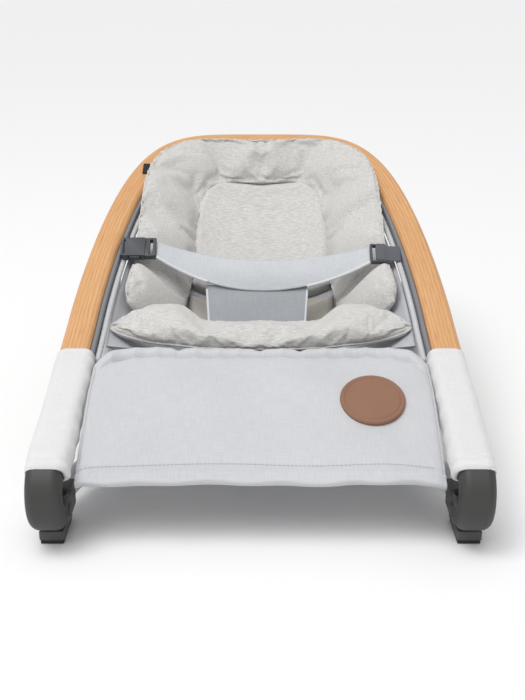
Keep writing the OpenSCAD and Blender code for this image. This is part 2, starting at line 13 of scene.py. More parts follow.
import bpy
import numpy as np
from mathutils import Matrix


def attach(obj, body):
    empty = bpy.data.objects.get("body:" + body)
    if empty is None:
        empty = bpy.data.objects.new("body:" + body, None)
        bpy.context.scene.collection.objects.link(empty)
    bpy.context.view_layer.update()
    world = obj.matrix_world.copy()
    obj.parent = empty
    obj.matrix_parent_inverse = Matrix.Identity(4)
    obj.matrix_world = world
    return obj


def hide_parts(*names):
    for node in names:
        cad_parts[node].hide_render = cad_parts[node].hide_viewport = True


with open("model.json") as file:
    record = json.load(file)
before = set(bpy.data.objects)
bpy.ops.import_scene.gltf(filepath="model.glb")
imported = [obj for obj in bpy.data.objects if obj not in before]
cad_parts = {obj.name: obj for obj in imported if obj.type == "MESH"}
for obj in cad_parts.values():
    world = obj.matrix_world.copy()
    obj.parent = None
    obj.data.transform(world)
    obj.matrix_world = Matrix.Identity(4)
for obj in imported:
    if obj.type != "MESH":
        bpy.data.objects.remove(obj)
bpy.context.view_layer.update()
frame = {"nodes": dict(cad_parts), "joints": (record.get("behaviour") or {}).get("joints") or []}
joints = {j["name"]: j for j in frame["joints"]}
FOOT_Y = joints["recline"]["pos_m"][1] - 0.008
print("frame:", len(frame["nodes"]), "nodes; front foot at y", round(FOOT_Y, 4))

# %% [markdown]
# ## The camera
# It stands at the feet end, a little above the seat, and looks down on it. The lens is a normal
# one, so the rails draw together towards the head.

# %% Camera
camera_data = bpy.data.cameras.new("camera")
camera_data.lens = 54.0
camera_data.sensor_width = 36.0
camera = bpy.data.objects.new("camera", camera_data)
bpy.context.scene.collection.objects.link(camera)
camera.location = (0.002, FOOT_Y - 0.9467, 0.577)
camera.rotation_euler = (math.radians(90 - 21.0), 0.0, 0.0)
bpy.context.scene.camera = camera
print("camera at", [round(v, 3) for v in camera.location])

# %% [markdown]
# ## Turning arrays into meshes
# A piece is a grid of points, computed at once with numpy. Its first direction runs along the piece
# and its second runs across or round it. The grid can close on itself in either direction, and the
# open ends of a tube get a cap. The UV map is in metres, so a weave has the same size on every piece.

# %% Grid meshes
MM = 0.001


def place(points):
    """Millimetres from the front foot -> metres in the frame: scale by 1/1000, then slide along Y."""
    return np.asarray(points, float) * MM + np.array([0.0, FOOT_Y, 0.0])


def arc_length(points, axis):
    """Distance run along one direction of the grid, from its first row, in metres."""
    steps = np.linalg.norm(np.diff(points, axis=axis), axis=2)
    zero = np.zeros_like(np.take(steps, [0], axis=axis))
    return np.concatenate([zero, np.cumsum(steps, axis=axis)], axis=axis) * MM


def grid_mesh(name, points, closed_along=False, closed_round=False, caps=False, material=None):
    """A mesh from an (n, m, 3) grid. Face (i, j) joins rows i and i+1 and columns j and j+1, modulo the
    grid's size where it closes. UV = (mean length along, length round). The faces are turned over if
    the volume they enclose, the sum of p0 . (p1 x p2) / 6 over their triangles, is negative."""
    n, m = points.shape[:2]
    full = np.concatenate([points, points[:1]], 0) if closed_along else points
    full = np.concatenate([full, full[:, :1]], 1) if closed_round else full
    u = np.broadcast_to(arc_length(full, 0).mean(1, keepdims=True), full.shape[:2])
    v = arc_length(full, 1)
    i, j = np.meshgrid(np.arange(full.shape[0] - 1), np.arange(full.shape[1] - 1), indexing="ij")
    corners = [(i, j), (i, j + 1), (i + 1, j + 1), (i + 1, j)]
    faces = np.stack([(a % n) * m + b % m for a, b in corners], -1).reshape(-1, 4)
    uv = np.stack([np.stack([u[a, b], v[a, b]], -1) for a, b in corners], -2).reshape(-1, 2)
    verts = points.reshape(-1, 3)
    polys = faces.tolist()
    for row, turn in ((0, -1), (n - 1, 1)) if caps else ():
        centre = len(verts)
        verts = np.vstack([verts, points[row].mean(0)])
        ring = row * m + np.arange(m)
        fan = np.stack([ring, np.roll(ring, -1), np.full(m, centre)], 1)[:, ::turn]
        polys += fan.tolist()
        uv = np.vstack([uv, verts[fan.ravel()][:, [0, 2]] * MM])
    mesh = bpy.data.meshes.new(name)
    mesh.from_pydata(place(verts).tolist(), [], polys)
    mesh.uv_layers.new(name="UVMap").data.foreach_set("uv", uv.ravel())
    mesh.polygons.foreach_set("use_smooth", np.ones(len(polys), bool))
    mesh.update()
    centred = verts - verts.mean(0)
    triangles = np.array([(q[0], q[a], q[a + 1]) for q in polys for a in range(1, len(q) - 1)])
    p0, p1, p2 = (centred[triangles[:, c]] for c in range(3))
    if np.einsum("ij,ij->", p0, np.cross(p1, p2)) < 0:
        mesh.flip_normals()
    piece = bpy.data.objects.new(name, mesh)
    bpy.context.scene.collection.objects.link(piece)
    if material:
        mesh.materials.append(material)
    return piece


def finish_piece(piece, body, slot, *nodes):
    """The piece rides its body and stands for the CAD nodes named, which are hidden. Its slot is not used.
    """
    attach(piece, body)
    if nodes:
        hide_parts(*nodes)
    print(piece.name, len(piece.data.polygons), "faces")
    return piece


def normals_of(points, closed_round=False):
    """Unit normals of a grid: the cross product of its two directions' central differences."""
    along = np.gradient(points, axis=0)
    if closed_round:
        around = (np.roll(points, -1, 1) - np.roll(points, 1, 1)) / 2
    else:
        around = np.gradient(points, axis=1)
    n = np.cross(around, along)
    return n / np.maximum(np.linalg.norm(n, axis=2, keepdims=True), 1e-9)


def ripple(u, v, seed):
    """Smooth, repeatable unevenness between about -1 and 1: a sum of sines whose directions and
    lengths come from a seeded generator."""
    rng = np.random.default_rng(seed)
    total = np.zeros(np.broadcast(u, v).shape)
    for octave in range(6):
        a, b = rng.uniform(-1, 1, 2) * (1.4 ** octave)
        total = total + np.sin(a * u + b * v + rng.uniform(0, 6.28)) / (1.25 ** octave)
    return total / 3.0


def step(a, b, x):
    """0 below a, 1 above b, and a smooth S between: 3f^2 - 2f^3."""
    f = np.clip((x - a) / (b - a), 0, 1)
    return f * f * (3 - 2 * f)


# %% [markdown]
# ## Shared shader effects
# Weave, melange yarn, wood grain, fine pebbling and soft creases are node groups, each built once
# and placed in the materials that need it. They give back only values, heights and colours.

# %% Node helpers
def srgb(r, g, b):
    """8-bit screen colour -> linear colour with alpha."""
    c = np.array([r, g, b]) / 255.0
    lin = np.where(c <= 0.04045, c / 12.92, ((c + 0.055) / 1.055) ** 2.4)
    return (*[float(x) for x in lin], 1.0)


class Nodes:
    """A short hand for building node trees: new nodes, and links given as sockets or numbers."""

    def __init__(self, tree):
        self.tree = tree

    def add(self, kind, **settings):
        node = self.tree.nodes.new(kind)
        for key, value in settings.items():
            setattr(node, key, value)
        return node

    def feed(self, socket, value):
        if isinstance(value, bpy.types.NodeSocket):
            self.tree.links.new(value, socket)
        else:
            socket.default_value = value

    def math(self, op, a, b=0.0, c=None):
        node = self.add("ShaderNodeMath", operation=op)
        self.feed(node.inputs[0], a)
        self.feed(node.inputs[1], b)
        if c is not None:
            self.feed(node.inputs[2], c)
        return node.outputs[0]

    def noise(self, vector, scale, detail=3.0, rough=0.5):
        node = self.add("ShaderNodeTexNoise")
        self.feed(node.inputs["Vector"], vector)
        self.feed(node.inputs["Scale"], scale)
        self.feed(node.inputs["Detail"], detail)
        self.feed(node.inputs["Roughness"], rough)
        return node.outputs["Fac"]

    def stretch(self, vector, scale):
        node = self.add("ShaderNodeMapping")
        self.feed(node.inputs["Vector"], vector)
        node.inputs["Scale"].default_value = scale
        return node.outputs[0]

    def ramp(self, value, stops):
        node = self.add("ShaderNodeValToRGB")
        self.feed(node.inputs[0], value)
        elements = node.color_ramp.elements
        while len(elements) < len(stops):
            elements.new(0.5)
        for element, (position, colour) in zip(elements, stops):
            element.position = position
            element.color = colour
        return node.outputs[0]

    def mix(self, factor, a, b):
        node = self.add("ShaderNodeMix", data_type="RGBA")
        self.feed(node.inputs["Factor"], factor)
        self.feed(node.inputs["A"], a)
        self.feed(node.inputs["B"], b)
        return node.outputs["Result"]


def new_group(name, inputs, outputs):
    """An empty group with its sockets; inputs and outputs are (name, socket type, default)."""
    tree = bpy.data.node_groups.new(name, "ShaderNodeTree")
    for label, kind, value in inputs:
        socket = tree.interface.new_socket(name=label, in_out="INPUT", socket_type=kind)
        if value is not None:
            socket.default_value = value
    for label, kind in outputs:
        tree.interface.new_socket(name=label, in_out="OUTPUT", socket_type=kind)
    k = Nodes(tree)
    return k, k.add("NodeGroupInput"), k.add("NodeGroupOutput")


VEC, NUM = "NodeSocketVector", "NodeSocketFloat"

# %% Plain weave
weave_k, weave_in, weave_out = new_group(
    "plain_weave", [("Vector", VEC, None), ("Threads per metre", NUM, 900.0), ("Slub", NUM, 0.5)],
    [("Height", NUM), ("Shade", NUM)])
k = weave_k
warped = k.add("ShaderNodeVectorMath", operation="SCALE")
k.feed(warped.inputs[0], weave_in.outputs["Vector"])
k.feed(warped.inputs["Scale"], weave_in.outputs["Threads per metre"])
split = k.add("ShaderNodeSeparateXYZ")
k.feed(split.inputs[0], warped.outputs[0])
warp_wave = k.math("SINE", k.math("MULTIPLY", split.outputs[0], math.pi))
weft_wave = k.math("SINE", k.math("MULTIPLY", split.outputs[1], math.pi))
over_under = k.math("MULTIPLY", warp_wave, weft_wave)
rounded = k.math("ABSOLUTE", over_under)
k.feed(weave_out.inputs["Height"], k.math("POWER", rounded, 0.6))
slubs = k.noise(k.stretch(weave_in.outputs["Vector"], (60.0, 900.0, 1.0)), 1.0, 2.0)
slubs_other = k.noise(k.stretch(weave_in.outputs["Vector"], (900.0, 60.0, 1.0)), 1.0, 2.0)
both = k.math("ADD", slubs, slubs_other)
k.feed(weave_out.inputs["Shade"],
       k.math("MULTIPLY_ADD", k.math("SUBTRACT", both, 1.0), weave_in.outputs["Slub"], 0.5))
print("plain weave ready")

# %% Melange yarn
k, group_in, group_out = new_group(
    "melange_yarn", [("Vector", VEC, None), ("Streak", VEC, (95.0, 820.0, 820.0))],
    [("Dark", NUM), ("Light", NUM), ("Height", NUM)])
scaled = k.add("ShaderNodeVectorMath", operation="MULTIPLY")
k.feed(scaled.inputs[0], group_in.outputs["Vector"])
k.feed(scaled.inputs[1], group_in.outputs["Streak"])
dashes = k.noise(scaled.outputs[0], 1.0, 3.0, 0.6)
shifted = k.add("ShaderNodeVectorMath", operation="ADD")
k.feed(shifted.inputs[0], scaled.outputs[0])
shifted.inputs[1].default_value = (31.7, 11.3, 4.1)
flecks = k.noise(shifted.outputs[0], 1.3, 3.0, 0.6)
k.feed(group_out.inputs["Dark"], k.ramp(dashes, [(0.42, (1, 1, 1, 1)), (0.56, (0, 0, 0, 1))]))
k.feed(group_out.inputs["Light"], k.ramp(flecks, [(0.52, (0, 0, 0, 1)), (0.66, (1, 1, 1, 1))]))
k.feed(group_out.inputs["Height"], k.math("ADD", dashes, flecks))
print("melange yarn ready")

# %% Soft creases, pebbling and wood grain
k, group_in, group_out = new_group(
    "soft_creases", [("Vector", VEC, None), ("Scale", NUM, 14.0)], [("Height", NUM), ("Shade", NUM)])
broad = k.noise(group_in.outputs["Vector"], group_in.outputs["Scale"], 2.0, 0.45)
fine = k.noise(group_in.outputs["Vector"], k.math("MULTIPLY", group_in.outputs["Scale"], 4.0), 3.0)
k.feed(group_out.inputs["Height"], k.math("MULTIPLY_ADD", fine, 0.25, broad))
k.feed(group_out.inputs["Shade"], broad)

k, group_in, group_out = new_group(
    "fine_pebble", [("Vector", VEC, None), ("Scale", NUM, 900.0)], [("Height", NUM), ("Mottle", NUM)])
k.feed(group_out.inputs["Height"],
       k.noise(group_in.outputs["Vector"], group_in.outputs["Scale"], 2.0, 0.6))
k.feed(group_out.inputs["Mottle"],
       k.noise(group_in.outputs["Vector"], k.math("MULTIPLY", group_in.outputs["Scale"], 0.02), 3.0))

k, group_in, group_out = new_group(
    "wood_grain", [("Vector", VEC, None)], [("Rings", NUM), ("Pores", NUM), ("Drift", NUM)])
long_grain = k.stretch(group_in.outputs["Vector"], (2.2, 60.0, 60.0))
bend = k.noise(k.stretch(group_in.outputs["Vector"], (3.0, 12.0, 12.0)), 1.0, 2.0)
wave = k.add("ShaderNodeTexWave", wave_type="BANDS", bands_direction="Y")
k.feed(wave.inputs["Vector"], long_grain)
k.feed(wave.inputs["Scale"], 1.1)
k.feed(wave.inputs["Distortion"], 7.0)
k.feed(wave.inputs["Detail"], 3.0)
k.feed(wave.inputs["Detail Scale"], 0.6)
k.feed(group_out.inputs["Rings"], wave.outputs["Fac"])
pores = k.noise(k.stretch(group_in.outputs["Vector"], (26.0, 900.0, 900.0)), 1.0, 4.0, 0.65)
k.feed(group_out.inputs["Pores"], k.ramp(pores, [(0.36, (1, 1, 1, 1)), (0.5, (0, 0, 0, 1))]))
k.feed(group_out.inputs["Drift"], bend)
print("creases, pebble and grain ready")


# %% [markdown]
# ## The materials
# Each finish is one Principled shader with its own colours. Constant numbers sit on the shader's
# own sockets; only what changes over the surface comes through a group.

# %% Material helpers
def use_group(k, name, **inputs):
    """A group placed in a material, with its inputs given by name ("_" stands for a space)."""
    node = k.add("ShaderNodeGroup")
    node.node_tree = bpy.data.node_groups[name]
    for label, value in inputs.items():
        k.feed(node.inputs[label.replace("_", " ")], value)
    return node


def new_material(name, rough=0.8, sheen=0.0, metallic=0.0, specular=0.5, coat=0.0):
    """(material, node helper, its Principled node)."""
    material = bpy.data.materials.new(name)
    material.use_nodes = True
    k = Nodes(material.node_tree)
    shader = material.node_tree.nodes["Principled BSDF"]
    shader.inputs["Roughness"].default_value = rough
    shader.inputs["Metallic"].default_value = metallic
    shader.inputs["Specular IOR Level"].default_value = specular
    shader.inputs["Sheen Weight"].default_value = sheen
    shader.inputs["Sheen Roughness"].default_value = 0.5
    shader.inputs["Coat Weight"].default_value = coat
    return material, k, shader


def bump(k, shader, layers):
    """Bump nodes in a chain: layers are (height socket, distance in metres, strength)."""
    normal = None
    for height, distance, strength in layers:
        node = k.add("ShaderNodeBump")
        node.inputs["Distance"].default_value = distance
        node.inputs["Strength"].default_value = strength
        k.feed(node.inputs["Height"], height)
        if normal is not None:
            k.feed(node.inputs["Normal"], normal)
        normal = node.outputs[0]
    k.feed(shader.inputs["Normal"], normal)


def uv_of(k):
    return k.add("ShaderNodeTexCoord").outputs["UV"]


def object_of(k):
    return k.add("ShaderNodeTexCoord").outputs["Object"]


# %% Woven light grey cloth
def woven(name, light, dark, threads=1100.0, crease=12.0, crease_depth=0.0012):
    material, k, shader = new_material(name, rough=0.85, sheen=0.25, specular=0.25)
    weave = use_group(k, "plain_weave", Vector=uv_of(k), Threads_per_metre=threads, Slub=1.0)
    creases = use_group(k, "soft_creases", Vector=object_of(k), Scale=crease)
    # Colour tone: painted shade in the gaps between threads (weave height) and in the hollows of the soft
    # creases, plus the yarn's own slub tone.
    tone = k.math("MULTIPLY_ADD", weave.outputs["Height"], 0.35, k.math(
        "MULTIPLY_ADD", creases.outputs["Shade"], 0.35, k.math("MULTIPLY", weave.outputs["Shade"], 0.6)))
    k.feed(shader.inputs["Base Color"], k.mix(tone, dark, light))
    bump(k, shader, [(creases.outputs["Height"], crease_depth, 0.6), (weave.outputs["Height"], 0.0002, 0.5)])
    return material


cloth = woven("woven_light_grey", srgb(207, 208, 211), srgb(176, 177, 180))
# The sleeves are the front panel's own cloth, painted lighter: painted light for the light that falls on
# them.
sleeve_cloth_painted_light = woven("sleeve_grey_painted_light", srgb(228, 227, 227), srgb(203, 202, 203))
belt_cloth = woven("woven_belt_grey", srgb(208, 211, 214), srgb(170, 174, 179))
seat_cloth = woven("seat_panel_grey", srgb(214, 208, 199), srgb(172, 167, 158), threads=700.0)
# The neck is the belt's own cloth, painted darker: painted shade for where it bends down over the lap.
neck_cloth_painted_shade = woven("neck_grey_painted_shade", srgb(170, 173, 177), srgb(136, 140, 145))
sling_cloth = woven("sling_grey", srgb(196, 197, 203), srgb(158, 160, 166))


# %% Melange jersey
def jersey(name, base, dark, light):
    material, k, shader = new_material(name, rough=0.92, sheen=0.35, specular=0.2)
    yarn = use_group(k, "melange_yarn", Vector=object_of(k))
    creases = use_group(k, "soft_creases", Vector=object_of(k), Scale=16.0)
    with_dark = k.mix(k.math("MULTIPLY", yarn.outputs["Dark"], 0.5), base, dark)
    with_light = k.mix(k.math("MULTIPLY", yarn.outputs["Light"], 0.6), with_dark, light)
    k.feed(shader.inputs["Base Color"], with_light)
    bump(k, shader, [(creases.outputs["Height"], 0.0009, 0.5), (yarn.outputs["Height"], 0.00025, 0.5)])
    return material


melange = jersey("melange_jersey", srgb(205, 203, 199), srgb(166, 167, 169), srgb(229, 226, 220))

# %% Honey coloured wood
wood, k, shader = new_material("honey_wood", rough=0.48, specular=0.4, coat=0.08)
grain = use_group(k, "wood_grain", Vector=uv_of(k))
rings = k.ramp(grain.outputs["Rings"], [(0.0, srgb(212, 160, 109)), (0.5, srgb(222, 172, 121)),
                                        (1.0, srgb(228, 180, 130))])
drifted = k.mix(k.math("MULTIPLY", grain.outputs["Drift"], 0.6), rings, srgb(190, 136, 86))
k.feed(shader.inputs["Base Color"], k.mix(k.math("MULTIPLY", grain.outputs["Pores"], 0.45), drifted,
                                          srgb(166, 108, 58)))
bump(k, shader, [(grain.outputs["Pores"], 0.0002, -0.3)])


# %% Moulded plastic, rubber, tube paint, steel and leather
def moulded(name, colour, rough, scale=1400.0, depth=0.00008, metallic=0.0, lift=1.12):
    material, k, shader = new_material(name, rough=rough, metallic=metallic, specular=0.45)
    pebble = use_group(k, "fine_pebble", Vector=object_of(k), Scale=scale)
    paler = tuple(min(1.0, c * lift) for c in colour[:3]) + (1.0,)
    k.feed(shader.inputs["Base Color"], k.mix(pebble.outputs["Mottle"], colour, paler))
    bump(k, shader, [(pebble.outputs["Height"], depth, 0.5)])
    return material


elbow_plastic = moulded("elbow_plastic", srgb(56, 57, 55), 0.55)
dark_plastic = moulded("dark_plastic", srgb(76, 77, 76), 0.55)
buckle_plastic = moulded("buckle_plastic", srgb(66, 69, 74), 0.42)
trim_plastic = moulded("trim_plastic", srgb(120, 122, 126), 0.5)
rubber = moulded("sole_rubber", srgb(44, 44, 45), 0.8, scale=700.0, depth=0.0002)
tube_paint = moulded("tube_paint", srgb(188, 190, 193), 0.38, scale=2600.0, depth=0.00003)
steel = moulded("pin_steel", srgb(190, 190, 190), 0.35, scale=900.0, metallic=1.0)
leather = moulded("badge_leather", srgb(132, 96, 76), 0.62, scale=1500.0, depth=0.00018, lift=1.2)

# %% Ribbed webbing and thread
webbing, k, shader = new_material("dark_webbing", rough=0.7, sheen=0.2, specular=0.3)
ribs = k.add("ShaderNodeSeparateXYZ")
k.feed(ribs.inputs[0], uv_of(k))
rib = k.math("ABSOLUTE", k.math("SINE", k.math("MULTIPLY", ribs.outputs[0], 2600.0)))
cross_rib = k.math("ABSOLUTE", k.math("SINE", k.math("MULTIPLY", ribs.outputs[1], 2200.0)))
ribbing = k.math("MULTIPLY_ADD", cross_rib, 0.5, rib)
k.feed(shader.inputs["Base Color"], k.mix(ribbing, srgb(62, 65, 70), srgb(98, 101, 106)))
bump(k, shader, [(ribbing, 0.0004, 0.7)])
thread = moulded("sewing_thread", srgb(176, 177, 180), 0.8, scale=4000.0)
black_cloth = moulded("black_tape", srgb(34, 35, 37), 0.85, scale=3000.0, depth=0.0003)
print("materials:", len(bpy.data.materials))

# %% [markdown]
# ## The line of the rails
# Seen from the side each rail is a shallow parabola. Seen from above the two run nearly straight
# to the middle of the seat and meet in a superellipse, a curve squarer than an ellipse.

# %% Rail line
FRONT_Y, RAIL_HALF, RAIL_Z, SLOPE, CURVE = -10.0, 215.5, 89.0, 0.2217, 0.00017
TAPER, TAPER_LENGTH, ARCH_START, ARCH_REACH, BEND, POWER = 9.5, 428.0, 230.0, 398.0, 1.7, 5.0
ARCH_HALF = RAIL_HALF - TAPER * ((ARCH_START - FRONT_Y) / TAPER_LENGTH) ** 2
WOOD_W, WOOD_T, TRIM_W = 35.0, 24.0, 5.0


def rail_z(y):
    """Height of the rail's middle: start + slope * distance + curve * distance squared."""
    return RAIL_Z + SLOPE * (y - FRONT_Y) + CURVE * (y - FRONT_Y) ** 2


def rail_x(y):
    return RAIL_HALF - TAPER * ((y - FRONT_Y) / TAPER_LENGTH) ** 2


def spow(c, p):
    return np.sign(c) * np.abs(c) ** p


def head_x(y, inset):
    """Half width of the head: half * (1 - ((y - start) / reach)^1.7)^(1/5), for a line drawn a
    distance inside the rail's middle."""
    f = np.clip((y - ARCH_START) / (ARCH_REACH - inset), 0, 1)
    return (ARCH_HALF - inset) * np.maximum(0, 1 - f ** BEND) ** (1 / POWER)


def edge_x(y, inset):
    """Half width between lines drawn a distance inside the rail's middle."""
    return np.where(y < ARCH_START, rail_x(y) - inset, head_x(y, inset))


def arch_line(first, count):
    """Points of the arch's middle from the left front end over the head to the right one, evenly
    spaced, with unit directions along it, inward and upward."""
    straight = np.linspace(first, ARCH_START, 200)
    q = np.linspace(-1, 1, 2401)[1:-1]
    angle = np.pi / 2 * (1 - np.abs(q) ** 1.8)
    head = np.stack([np.sign(q) * ARCH_HALF * np.cos(angle) ** (2 / POWER),
                     ARCH_START + ARCH_REACH * np.sin(angle) ** (2 / BEND)], 1)
    plan = np.vstack([np.stack([-rail_x(straight), straight], 1), head,
                      np.stack([rail_x(straight[::-1]), straight[::-1]], 1)])
    line = np.column_stack([plan, rail_z(plan[:, 1])])
    run = np.concatenate([[0], np.cumsum(np.linalg.norm(np.diff(line, axis=0), axis=1))])
    even = np.linspace(0, run[-1], count)
    line = np.stack([np.interp(even, run, line[:, c]) for c in range(3)], 1)
    along = np.gradient(line, axis=0)
    along /= np.linalg.norm(along, axis=1, keepdims=True)
    lean = np.stack([np.zeros(count), -(SLOPE + 2 * CURVE * (line[:, 1] - FRONT_Y)), np.ones(count)], 1)
    inward = np.cross(along, lean)
    inward /= np.linalg.norm(inward, axis=1, keepdims=True)
    return line, along, inward, np.cross(inward, along)


def round_rect(w, h, r, per_corner=8):
    """Rounded rectangle, anticlockwise: four quarter circles of radius r at the inner corners."""
    q = np.arange(4)[:, None]
    a = np.radians(90 * q + np.linspace(0, 90, per_corner)[None, :])
    sx = np.array([1, -1, -1, 1])[:, None]
    sy = np.array([1, 1, -1, -1])[:, None]
    return np.stack([sx * (w / 2 - r) + r * np.cos(a), sy * (h / 2 - r) + r * np.sin(a)], -1).reshape(-1, 2)


def swept(line, inward, up, section, outward=0.0, lift=0.0):
    """A section carried along a line: point = line - inward * (a + outward) + up * (b + lift)."""
    a = section[..., 0] + outward
    b = section[..., 1] + lift
    return line[:, None] - inward[:, None] * a[..., None] + up[:, None] * b[..., None]


# %% [markdown]
# ## The wooden arch
# A strip of bent wood, 35 mm wide and 24 mm thick, with well rounded edges. It is one section
# carried along the rail line, so its grain can follow the bend in the UV map.

# %% Wooden arch
WOOD_FIRST = 10.6
line, along, inward, up = arch_line(WOOD_FIRST, 520)
wood_arch = grid_mesh("wood_arch_bent", swept(line, inward, up, round_rect(WOOD_W, WOOD_T, 8.0, 10)),
                      closed_round=True, caps=True, material=wood)
finish_piece(wood_arch, "seat", "wood_arch", "wood_arch")

# %% [markdown]
# ## The trim and the cord edge
# A grey plastic channel runs along the inside of the wood and grips a cord sewn into the cloth.
# Both follow the same line, moved inward, and stop behind the sleeves.

# %% Trim rail and cord edge
TRIM_FIRST = 171.0
line, along, inward, up = arch_line(TRIM_FIRST, 460)
trim = grid_mesh("trim_rail_strip", swept(line, inward, up, round_rect(TRIM_W, 14.0, 1.6, 5),
                 outward=-(WOOD_W + TRIM_W) / 2 - 0.3, lift=1.0), closed_round=True, caps=True,
                 material=trim_plastic)
finish_piece(trim, "seat", "trim_plastic", "trim_rail")
PIPING = 7.0
angles = np.linspace(0, 2 * np.pi, 20, endpoint=False)
pucker = 1 + 0.05 * np.sin(np.arange(len(line)) * 1.9)[:, None]
cord_section = np.stack([PIPING / 2 * np.cos(angles) * pucker,
                         (PIPING / 2 + 0.5) * np.sin(angles) * pucker], -1)
piping = grid_mesh("cord_edge", swept(line, inward, up, cord_section,
                   outward=-WOOD_W / 2 - TRIM_W - PIPING / 2 - 0.7, lift=-1.0), closed_round=True,
                   caps=True, material=cloth)
finish_piece(piping, "seat", "woven_fabric", "edge_piping")

# %% [markdown]
# ## The sleeves
# Each rail's front end wears a fabric tube. It is an outer wall and an inner wall joined at both
# hems. Its inner side is sewn to the front panel, so that side is drawn into small scallops.

# %% Sleeves
SLEEVE_LAST = 175.0
BEND_Y, BEND_Z, BEND_R, BEND_STOP, BEND_TURN = 3.0, 62.0, 29.0, 102.5, 127.0


def rail_frame(side, count=150, turned=26):
    """The rail from its elbow backwards: its middle, the inward direction and the upward one. The
    first points go round the elbow's arc, from 127 degrees to 102.5, and the rest along the rail."""
    angle = np.radians(np.linspace(BEND_TURN, BEND_STOP, turned, endpoint=False))
    y = np.linspace(BEND_Y + BEND_R * math.cos(math.radians(BEND_STOP)), SLEEVE_LAST, count - turned)
    slope = SLOPE + 2 * CURVE * (y - FRONT_Y)
    middle = np.concatenate([
        np.stack([np.full(turned, side * RAIL_HALF), BEND_Y + BEND_R * np.cos(angle),
                  BEND_Z + BEND_R * np.sin(angle)], 1),
        np.stack([side * rail_x(y), y, rail_z(y)], 1)])
    lift = np.concatenate([np.stack([0 * angle, np.cos(angle), np.sin(angle)], 1),
                           np.stack([0 * y, -slope, np.ones(len(y))], 1)])
    inward = np.tile([-side, 0.0, 0.0], (count, 1))
    run = np.concatenate([[0], np.cumsum(np.linalg.norm(np.diff(middle, axis=0), axis=1))])
    return run, middle, inward, lift / np.linalg.norm(lift, axis=1, keepdims=True)


def sleeve(side, seed):
    """Outer radius = section + scallops on the inner side + soft ripples, pinched at both hems."""
    y, middle, inward, lift = rail_frame(side)
    shape = round_rect(45.0, 33.5, 13.0, 14)
    angle = np.arctan2(shape[:, 1], shape[:, 0])
    from_end = np.minimum(y, y[-1] - y)[:, None]
    hem = -2.2 * np.exp(-(from_end / 1.6) ** 2) - 0.9 * np.exp(-((from_end - 9) / 1.8) ** 2)
    inner_side = step(0.75, 0.95, np.cos(angle - np.pi))[None, :]
    scallop = -0.9 * inner_side * np.abs(np.sin(y[:, None] / 9.5 + 0.6 * ripple(y[:, None] / 30, 0, seed)))
    soft = 0.8 * ripple(y[:, None] / 22, angle[None, :] * 1.3, seed + 1) * step(0, 20, from_end)
    grow = 1 + (hem + scallop + soft) / 19.0
    outer = swept(middle, inward, lift, shape[None] * grow[..., None] - np.array([3.0, 0.0]))
    hole = swept(middle, inward, lift, np.tile(round_rect(38.0, 27.0, 9.0, 14), (len(y), 1, 1)))
    points = np.concatenate([outer, hole[::-1]])
    if side > 0:
        points = points[:, ::-1]
    label = "left" if side < 0 else "right"
    piece = grid_mesh("sleeve_cloth_painted_light_" + label, points, closed_along=True, closed_round=True,
                      material=sleeve_cloth_painted_light)
    finish_piece(piece, "seat", "woven_fabric", "sleeve_" + label)


for side, seed in ((-1, 3), (1, 8)):
    sleeve(side, seed)

# %% [markdown]
# ## The front panel
# A quilted cloth stretched over the feet end, between the sleeves. Its rear edge is a gathered
# roll with a few puckers, its sides dip to the sleeve seams, and a hem turns under at the front.

# %% Smooth tables
def smooth(table, x):
    """Cubic Hermite curve through [distance, value] rows, slopes taken from each row's neighbours."""
    t = np.array(table, float)
    x = np.clip(np.asarray(x, float), t[0, 0], t[-1, 0])
    i = np.clip(np.searchsorted(t[:, 0], x, side="right") - 1, 0, len(t) - 2)
    before, after = np.maximum(i - 1, 0), np.minimum(i + 2, len(t) - 1)
    h = t[i + 1, 0] - t[i, 0]
    f = (x - t[i, 0]) / h
    m0 = (t[i + 1, 1] - t[before, 1]) / (t[i + 1, 0] - t[before, 0]) * h
    m1 = (t[after, 1] - t[i, 1]) / (t[after, 0] - t[i, 0]) * h
    return ((2 * f ** 3 - 3 * f ** 2 + 1) * t[i, 1] + (f ** 3 - 2 * f ** 2 + f) * m0
            + (3 * f ** 2 - 2 * f ** 3) * t[i + 1, 1] + (f ** 3 - f ** 2) * m1)


PANEL_ROWS = [[-6, 77], [0, 82], [50, 107], [100, 129], [150, 141], [180, 142], [198, 136]]
PANEL_HALF = 187.8
ROLL_DEPTH = 27.0
PANEL_REAR, SIDE_DRAW, STRAIGHT_HALF, DRAW_WIDTH = 138, 60, 120.5, 67.5
PUCKERS = [-96.0, -2.0, 46.0]


def panel_rear(x):
    """Rear edge at x: straight over the middle, then a quarter ellipse down to each side."""
    return PANEL_REAR + SIDE_DRAW * np.sqrt(1 - np.clip((np.abs(x) - STRAIGHT_HALF) / DRAW_WIDTH, 0, 1) ** 2)


